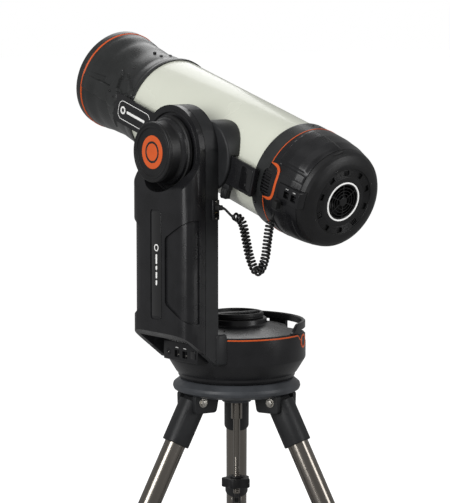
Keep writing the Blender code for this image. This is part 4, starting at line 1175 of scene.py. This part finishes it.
def deck():
    low = DRUM_TOP_Z + 0.0003
    profile = [
        (0.0175, DECK_Z), (0.0515, DECK_Z), (0.0536, DECK_Z - 0.0014), (0.0540, 0.7030), (0.0560, 0.7010),
        (0.0620, 0.6995), (0.0900, 0.6950), (0.1150, 0.6912), (0.1192, low + 0.0026), (0.1215, low),
        (DRUM_R - 0.0060, low), (0.0600, 0.6950), (0.0480, 0.7070), (0.0175, 0.7070),
    ]
    well = sector_mesh("well", *WELL, 0.0884, 0.1400, WELL_Z, 0.7500, 0)
    mesh = combined("base_deck", turned_mesh("base_deck", profile, 200, True), less(well))
    add_piece("base_deck", mesh, SATIN, "turntable", MOUNT, ["base_deck"], "grey_casting")
    for i, degrees in enumerate((35, 145, 215, 325)):
        angle = math.radians(degrees)
        place = MOUNT @ Matrix.Translation((0.0780 * math.cos(angle), 0.0780 * math.sin(angle), 0.6966))
        screw_head(f"deck_screw_{i}", "turntable", place, 0.0030, 0.0012, GLOSS, "black_metal")

    knob = turned_mesh("azimuth_knob", [
        (0, 0.7168), (0.0405, 0.7168), (0.0425, KNOB_TOP_Z - 0.0006), (0.0440, KNOB_TOP_Z - 0.0002),
        (0.0462, KNOB_TOP_Z - 0.0002), (0.0478, KNOB_TOP_Z - 0.0014), (0.0480, 0.7160), (0.0470, 0.7155),
        (0.0470, 0.7145), (0.0480, 0.7140), (0.0472, DECK_Z + GAP), (0, DECK_Z + GAP),
    ], FINE, edge=0.0007)
    bar = block_mesh("bar", (-0.0415, -0.0058, 0.7160), (0.0415, 0.0058, 0.7207), 0.0018)
    mesh = combined("azimuth_knob", knob, plus(bar, Matrix.Rotation(math.radians(-12), 4, "Z")))
    add_piece("azimuth_knob", mesh, PLASTIC, "azimuth_knob", MOUNT, ["azimuth_knob"], "black_plastic")


def ring_handle():
    """A carrying handle: a band over the lowered part of the drum, with end feet and a post between."""
    inner = 0.1157
    outer = 0.1222
    rows = []
    start = -76
    end = 96
    steps = 172
    for i in range(steps + 1):
        degrees = start + (end - start) * i / steps
        angle = math.radians(degrees)
        slope = smooth(start, start + 10, degrees) * (1 - smooth(end - 10, end, degrees))
        top = 0.6925 + (0.7075 - 0.6925) * slope
        bridge = smooth(start + 9, start + 17, degrees) * (1 - smooth(end - 17, end - 9, degrees))
        bottom = 0.6895 + (0.6947 - 0.6895) * bridge
        outline = ((inner, bottom + 0.0008), (inner, top - 0.0016), (inner + 0.0016, top),
                   (outer - 0.0016, top), (outer, top - 0.0016), (outer, bottom + 0.0008),
                   (outer - 0.0008, bottom), (inner + 0.0008, bottom))
        rows.append([(radius * math.cos(angle), radius * math.sin(angle), height)
                     for radius, height in outline])
    band = grid_mesh("ring_handle", rows, caps=True)
    post = sector_mesh("post", 1, 19.5, inner + 0.0004, outer - 0.0004, WELL_Z + GAP, 0.6980, 0.0006)
    mesh = combined("ring_handle", band, plus(post))
    add_piece("ring_handle", mesh, SATIN, "turntable", MOUNT, ["ring_handle"], "black_plastic", 35)


def port_panel():
    panel = block_mesh("port_panel", (-0.1334, -0.0558, 0.6461), (-0.0900, 0.0398, 0.6799), 0.0014)
    drum = turned_mesh("drum", ring_profile(0, DRUM_R + 0.0003, 0.72, 0.60), 200, edge=0)
    cuts = [less(drum)]
    for y in (0.0020, -0.0200):
        hole = block_mesh("hole", (-0.15, y - 0.0066, 0.6526), (-0.1270, y + 0.0066, 0.6650), 0.0008)
        cuts.append(less(hole))
    mesh = combined("port_panel", panel, *cuts)
    add_piece("port_panel", mesh, SATIN, "turntable", MOUNT, ["port_panel"], "black_plastic")
    face = MOUNT @ Matrix.Translation((-0.1334, 0, 0)) @ TO_MINUS_X
    jack = [(0.0030, -0.001), (0.0056, -0.001), (0.0056, 0.0004), (0.0050, 0.0010), (0.0036, 0.0010),
            (0.0030, 0.0004)]
    place = face @ Matrix.Translation((0.6590, 0.0260, 0))
    turned("power_jack", jack, SATIN, "turntable", place, SMALL, True, edge=0.0003)
    turned("power_pin", [(0, -0.001), (0.0011, -0.001), (0.0011, 0.0003), (0.0006, 0.0008), (0, 0.0008)],
           BOLT, "turntable", place, 24, slot="brushed_steel", edge=0.0002)
    block("rocker_switch", (-0.1350, -0.0500, 0.6540), (-0.1330, -0.0380, 0.6680), GLOSS, "turntable",
          MOUNT, 0.0007)
    for i, y in enumerate((0.0020, -0.0200)):
        block(f"base_tongue_{i}", (-0.1300, y - 0.0045, 0.6560), (-0.1268, y + 0.0045, 0.6576), BOLT,
              "turntable", MOUNT, 0.0003, slot="brushed_steel")
        block(f"base_mark_{i}", (-0.13355, y - 0.0040, 0.6690), (-0.1333, y + 0.0040, 0.6702), INK,
              "turntable", MOUNT, 0.0001, slot="white_lens")


# ---- tripod


def leg_turn(index):
    return Matrix.Rotation(LEG_FIRST_AZIMUTH + index * math.radians(120), 4, "Z")


def tripod_head():
    top = BASE_Z - 0.0012
    profile = [
        (0.0076, top), (0.1000, top), (0.1030, top - 0.0012), (0.1128, HEAD_Z + 0.0052), (0.1139, HEAD_Z),
        (0.1120, HEAD_Z - 0.0050), (0.0985, HEAD_Z - 0.0119), (0.0950, HEAD_Z - 0.0080),
        (0.0330, HEAD_Z - 0.0080), (0.0300, HEAD_Z - 0.0130), (0.0260, HEAD_Z - 0.0300),
        (0.0076, HEAD_Z - 0.0300),
    ]
    head = turned_mesh("tripod_head", profile, 200, True, 0.0012)
    parts = []
    for i in range(3):
        turn = leg_turn(i)
        for way in (-1, 1):
            side = [
                (0.0540, HEAD_Z - 0.0078), (0.1030, HEAD_Z - 0.0078), (0.1020, HEAD_Z - 0.0400),
                (0.0600, HEAD_Z - 0.0400),
            ]
            prism(f"ear_{i}_{way}", [rounded(side, 0.006, True, 6)], -way * 0.0285 - 0.0054,
                  -way * 0.0285 + 0.0054, CASTING, "tripod", MOUNT @ turn @ XZ_PLANE, 0.0010,
                  slot="black_metal")
        slot = block_mesh("slot", (0.0600, -0.0230, HEAD_Z - 0.050), (0.1250, 0.0230, HEAD_Z - 0.0074), 0)
        parts.append(less(slot, turn))
    mesh = combined("tripod_head", head, *parts)
    add_piece("tripod_head", mesh, HEAD_PAINT, "tripod", MOUNT, ["tripod_head"], "grey_casting", 35)
    for i in range(3):
        turn = MOUNT @ leg_turn(i)
        place = turn @ Matrix.Translation((LEG_PIVOT_R, 0, LEG_PIVOT_Z))
        for way in (-1, 1):
            outward = Matrix.Rotation(-way * math.pi / 2, 4, "X")
            side = place @ Matrix.Translation((0, way * 0.0338, 0)) @ outward
            turned(f"hinge_washer_{i}_{way}", ring_profile(0, 0.0078, 0.0010, -0.0004), BOLT,
                   "tripod", side, SMALL, slot="brushed_steel", edge=0.0003)
            prism(f"hinge_bolt_{i}_{way}", [circle(0.0062, 6)], 0.0008, 0.0052, BOLT, "tripod", side,
                  0.0006, slot="brushed_steel")


def tripod_centre():
    rod = [(0, BASE_Z - 0.004), (0.0060, BASE_Z - 0.004), (0.0060, HEAD_Z - 0.0310),
           (0.0098, HEAD_Z - 0.0314)]
    rod += [(0.0098, HEAD_Z - 0.0616), (0.0060, HEAD_Z - 0.0620), (0.0060, 0.4600)]
    for i in range(18):
        height = 0.4590 - 0.0036 * i
        rod += [(0.0060, height), (0.0053, height - 0.0012), (0.0060, height - 0.0024)]
    rod += [(0.0060, 0.3925), (0.0052, 0.3920), (0, 0.3920)]
    turned("center_rod", rod, STEEL, "tripod", MOUNT, SMALL, nodes=["center_rod"], slot="brushed_steel",
           edge=0.0002)
    knob = [lobed(5, 0.0268, 0.006, 120), circle(0.0064, 48)]
    prism("rod_knob", knob, 0.4045, 0.4208, PLASTIC, "rod_knob", MOUNT, 0.0018, nodes=["rod_knob"])
    cap = [(0.0064, 0.4205), (0.0120, 0.4205), (0.0120, 0.4232), (0.0105, 0.4245), (0.0064, 0.4245)]
    turned("rod_knob_boss", cap, PLASTIC, "rod_knob", MOUNT, SMALL, True)


def brace_geometry():
    """Height of the hub's pivots, and the links' slope and length."""
    along = Vector((math.sin(LEG_SPLAY), -math.cos(LEG_SPLAY)))
    inward = Vector((-math.cos(LEG_SPLAY), -math.sin(LEG_SPLAY)))
    outer = Vector((LEG_PIVOT_R, LEG_PIVOT_Z)) + 0.230 * along + 0.040 * inward
    slope = math.radians(18.0)
    hub_z = outer.y - (outer.x - 0.030) * math.tan(slope)
    return hub_z, slope, (outer.x - 0.030) / math.cos(slope)


def brace(hub_z, slope, reach):
    profile = ring_profile(0.0081, 0.0198, hub_z + 0.0088, hub_z - 0.0088)
    hub = turned_mesh("brace_hub", profile, SMALL, True, 0.0012)
    parts = []
    for i in range(3):
        turn = leg_turn(i)
        for way in (-1, 1):
            lug = block_mesh("lug", (0.0140, way * 0.0080 - 0.0021, hub_z - 0.0064),
                             (0.0358, way * 0.0080 + 0.0021, hub_z + 0.0064), 0.0008)
            parts.append(plus(lug, turn))
    add_piece("brace_hub", combined("brace_hub", hub, *parts), PLASTIC, "brace_hub", MOUNT, ["brace_hub"],
              "black_plastic")
    for i in range(3):
        turn = MOUNT @ leg_turn(i)
        pivot = turn @ Matrix.Translation((0.030, 0, hub_z)) @ TO_MINUS_Y
        turned(f"hub_pin_{i}", ring_profile(0, 0.0032, 0.0112, -0.0112), BOLT, "brace_hub",
               pivot, 32, slot="brushed_steel", edge=0.0004)
        frame_place = turn @ Matrix.Translation((0.030, 0, hub_z)) @ Matrix.Rotation(-slope, 4, "Y")
        bar = arc((0, 0), 0.0048, 90, 270, 16) + arc((reach, 0), 0.0048, -90, 90, 16)
        link = prism_mesh("brace_link", [bar], -0.0053, 0.0053, 0.0010)
        fork = block_mesh("fork", (reach - 0.040, -0.0077, -0.0047), (reach + 0.0038, 0.0077, 0.0047),
                          0.0010)
        gap = block_mesh("gap", (reach - 0.030, -0.0047, -0.0200), (reach + 0.020, 0.0047, 0.0200), 0)
        waist = XZ_PLANE.inverted()
        channels = []
        for way in (-1, 1):
            low = (0.012, way * 0.0064 - 0.0022, -0.0026)
            high = (reach - 0.046, way * 0.0064 + 0.0022, 0.0026)
            channels.append(less(block_mesh("channel", low, high, 0.0010), waist))
        mesh = combined("brace_link", link, plus(fork, waist), less(gap, waist), *channels)
        name = f"brace_link_{i + 1}"
        add_piece(name, mesh, CASTING, name, frame_place @ XZ_PLANE, [name], "black_metal")
        pin = frame_place @ Matrix.Translation((reach, 0, 0)) @ TO_MINUS_Y
        for way in (-1, 1):
            ends = sorted((way * 0.0050, way * 0.0096))
            turned(f"link_pin_{i + 1}_{way}", ring_profile(0, 0.0030, ends[1], ends[0]), BOLT, name, pin, 32,
                   slot="brushed_steel", edge=0.0004)


def legs():
    foot_along = LEG_PIVOT_Z / math.cos(LEG_SPLAY)
    foot_r = LEG_PIVOT_R + LEG_PIVOT_Z * math.tan(LEG_SPLAY)
    for index in (1, 2, 3):
        azimuth = LEG_FIRST_AZIMUTH + (index - 1) * math.radians(120)
        pivot = (LEG_PIVOT_R * math.cos(azimuth), LEG_PIVOT_R * math.sin(azimuth), LEG_PIVOT_Z)
        place = MOUNT @ Matrix.Translation(pivot) @ Matrix.Rotation(azimuth - math.pi / 2, 4, "Z")
        place = place @ Matrix.Rotation(LEG_SPLAY, 4, "X")
        leg = f"leg_{index}"

        cap = prism_mesh("leg_cap", [rounded_rectangle(0.0226, 0.0230, 0.0185)], -0.0830, -0.0030, 0.0016,
                         4)
        tongue_side = arc((0, 0), 0.0118, 0, 180, 24) + [(-0.0168, -0.030), (0.0168, -0.030)]
        tongue = prism_mesh("tongue", [tongue_side], -0.0198, 0.0198, 0.0008)
        bore_r = LEG_TUBE_R + 0.0003
        bore = turned_mesh("bore", [(0, -0.030), (bore_r, -0.035), (bore_r, -0.12), (0, -0.12)], 64, edge=0)
        hollow = block_mesh("hollow", (-0.0125, -0.0300, -0.0600), (0.0125, -0.0218, -0.0300), 0.0030)
        mesh = combined("leg_cap", cap, plus(tongue, YZ_PLANE), less(bore),
                        less(hollow))
        add_piece(f"leg_cap_{index}", mesh, CASTING, leg, place, [f"leg_cap_{index}"], "black_metal", 35)

        tube = turned_mesh("leg_tube", ring_profile(0.0174, LEG_TUBE_R, -0.0365, -0.3920),
                           MEDIUM, True, 0.0004)
        add_piece(f"leg_tube_{index}", tube, STEEL, leg, place, [f"leg_tube_{index}"], "brushed_steel")
        collar = turned_mesh("collar", [
            (0.0193, CLAMP_Z + 0.0228), (0.0232, CLAMP_Z + 0.0228), (0.0245, CLAMP_Z + 0.0210),
            (0.0245, CLAMP_Z - 0.0210), (0.0232, CLAMP_Z - 0.0228), (0.0193, CLAMP_Z - 0.0228),
        ], MEDIUM, True, 0.0008)
        boss = turned_mesh("boss", [(0, 0.0332), (0.0088, 0.0332), (0.0108, 0.0205), (0, 0.0205)], SMALL,
                           edge=0.0008)
        outward = Matrix.Translation((0, 0, CLAMP_Z)) @ TO_Y
        mesh = combined("collar", collar, plus(boss, outward))
        add_piece(f"leg_collar_{index}", mesh, CASTING, leg, place, slot="black_metal")
        band = turned_mesh("band", ring_profile(0.0192, 0.0212, -0.2180, -0.2420), MEDIUM, True,
                           0.0005)
        lug = block_mesh("lug", (-0.0041, -0.0449, -0.2359), (0.0041, -0.0196, -0.2241), 0.0010)
        mesh = combined("band", band, plus(lug))
        add_piece(f"brace_band_{index}", mesh, CASTING, leg, place, slot="black_metal")

        lower = turned_mesh("lower_leg", ring_profile(0.0145, 0.0160, -0.0600, -foot_along + 0.020), MEDIUM,
                            True, 0.0004)
        add_piece(f"lower_leg_{index}", lower, STEEL, f"lower_leg_{index}", place, [f"lower_leg_{index}"],
                  "brushed_steel")
        foot_place = MOUNT @ Matrix.Translation((foot_r * math.cos(azimuth), foot_r * math.sin(azimuth), 0))
        shoe = turned_mesh("shoe", [
            (0, 0.0298), (0.0166, 0.0298), (0.0175, 0.0280), (0.0208, 0.0170), (0.0208, 0.0140),
            (0.0198, 0.0135), (0.0198, 0.0120), (0.0210, 0.0112), (0.0219, 0.0036), (0.0200, 0.0), (0, 0.0),
        ], 72, edge=0.0012)
        sleeve = turned_mesh("sleeve", [
            (0, -foot_along + 0.052), (0.0182, -foot_along + 0.052), (0.0190, -foot_along + 0.018),
            (0, -foot_along + 0.018),
        ], 72, edge=0.0014)
        mesh = combined("shoe", shoe, plus(sleeve, foot_place.inverted() @ place))
        add_piece(f"leg_shoe_{index}", mesh, RUBBER, f"lower_leg_{index}", foot_place, slot="black_rubber")
        knob_place = place @ outward
        prism(f"clamp_knob_{index}", [lobed(6, 0.0154, 0.003, 120)], 0.0341, 0.0479, PLASTIC,
              f"clamp_knob_{index}", knob_place, 0.0014, nodes=[f"clamp_knob_{index}"])


# ---- curly lead


def smooth_route(points, steps):
    """Points on a Catmull-Rom curve through the route's own points."""
    padded = [2 * points[0] - points[1]] + points + [2 * points[-1] - points[-2]]
    route = []
    for i in range(1, len(padded) - 2):
        before, start, end, after = padded[i - 1 : i + 3]
        slope = end - before
        bend = 2 * before - 5 * start + 4 * end - after
        twist = 3 * start - before - 3 * end + after
        for j in range(steps):
            t = j / steps
            route.append(start + 0.5 * (slope * t + bend * t**2 + twist * t**3))
    route.append(points[-1])
    return route


def coiled_route(spine, coil_from, coil_to, coil_radius, pitch, steps_per_turn=14):
    """The wire's centreline: along the spine, winding round it between the two distances."""
    distances = [0.0]
    for before, after in zip(spine, spine[1:]):
        distances.append(distances[-1] + (after - before).length)
    total = distances[-1]
    sides = []
    side = None
    for i in range(len(spine)):
        ahead = (spine[min(i + 1, len(spine) - 1)] - spine[max(i - 1, 0)]).normalized()
        if side is None:
            side = ahead.orthogonal().normalized()
        side = (side - ahead * side.dot(ahead)).normalized()
        sides.append((side, ahead.cross(side)))
    wire = []
    travelled = 0.0
    segment = 0
    ramp = 0.010
    while travelled < total:
        while segment < len(distances) - 2 and distances[segment + 1] < travelled:
            segment += 1
        span = distances[segment + 1] - distances[segment]
        t = (travelled - distances[segment]) / span
        centre = spine[segment].lerp(spine[segment + 1], t)
        side = sides[segment][0].lerp(sides[segment + 1][0], t).normalized()
        other = sides[segment][1].lerp(sides[segment + 1][1], t).normalized()
        wound = min(max(travelled - coil_from, 0), coil_to - coil_from)
        grown = smooth(0, ramp, travelled - coil_from)
        shrunk = 1 - smooth(coil_to - ramp, coil_to, travelled)
        size = coil_radius * grown * shrunk
        angle = 2 * math.pi * wound / pitch
        wire.append(centre + (side * math.cos(angle) + other * math.sin(angle)) * size)
        inside = coil_from - 0.001 < travelled < coil_to + 0.001
        travelled += pitch / steps_per_turn if inside else 0.0020
    wire.append(spine[-1])
    return wire


def cord():
    arm_end = Vector((-0.1148, -0.0979, 0.9200))
    route = [
        tuple(arm_end), (-0.1146, -0.1060, 0.9192), (-0.1142, -0.1150, 0.9140),
        (-0.1134, -0.1262, 0.9076), (-0.1120, -0.1400, 0.9060), (-0.1105, -0.1500, 0.8960),
        (-0.1090, -0.1570, 0.8700), (-0.1070, -0.1650, 0.8400), (-0.1050, -0.1780, 0.8190),
        (-0.1035, -0.1900, 0.8230), (-0.1020, -0.1990, 0.8440), (-0.1010, -0.2030, 0.8700),
        (-0.1000, -0.2080, 0.8980), (-0.0975, -0.2150, 0.9180),
    ]
    shift = Vector((AXIS.x, AXIS.y, 0))
    spine = smooth_route([Vector(point) + shift for point in route], 24)
    wire_diameter = 0.0043
    spine_length = sum((after - before).length for before, after in zip(spine, spine[1:]))
    wire = coiled_route(spine, 0.030, spine_length - 0.008, 0.0060, 0.0062)
    mesh = swept_mesh("cord", wire, wire_diameter / 2, 10)
    mesh.materials.append(LEAD)
    mesh.shade_smooth()
    lead = bpy.data.objects.new("cord", mesh)
    bpy.context.scene.collection.objects.link(lead)

    arm_plug = block_mesh("arm_plug", (-0.1194, -0.0974, 0.9156), (-0.1101, -0.0859, 0.9244), 0.0014)
    add_piece("arm_plug", arm_plug, RUBBER, "turntable", MOUNT, ["arm_plug"], "black_rubber")
    boot_route = []
    for offset in ((0, 0.0020, 0), (0, 0, 0), (0.0001, -0.0040, -0.0002), (0.0002, -0.0080, -0.0009)):
        boot_route.append(arm_end + Vector(offset) + shift)
    boot = swept_mesh("arm_boot", boot_route, 0.0026, 20, (0.0032, 0.0031, 0.0027, 0.0023))
    add_piece("arm_boot", boot, RUBBER, "turntable", HERE, slot="black_rubber")
    tube_plug = block_mesh("tube_plug", (-0.1009, -0.2389, -0.0199), (-0.0901, -0.2271, -0.0076), 0.0014)
    add_piece("tube_plug", tube_plug, RUBBER, "tube", HEAD, ["tube_plug"], "black_rubber")

    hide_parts("cord_lead", "cord_coil")
    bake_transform(lead)


# ---- pieces carried over from the frame


def carried_over():
    """CAD pieces inside the body keep their shape and get a procedural finish."""
    finishes = {
        "azimuth_post": STEEL, "altitude_shaft": STEEL, "focus_screw": STEEL, "azimuth_worm": STEEL,
        "altitude_worm": STEEL, "azimuth_gear": BRASS, "altitude_gear": BRASS,
    }
    for name, material in finishes.items():
        mesh = frame["nodes"][name].data
        mesh.materials.clear()
        mesh.materials.append(material)


tube_shell()
front_cell()
optics()
rear_shells()
vent_grille()
ports()
rear_cap()
fan_and_guard()
dovetail()
saddle()
arm_shell()
arm_details()
arm_frame()
altitude_knob()
base()
deck()
ring_handle()
port_panel()
tripod_head()
tripod_centre()
brace(*brace_geometry())
legs()
cord()
carried_over()
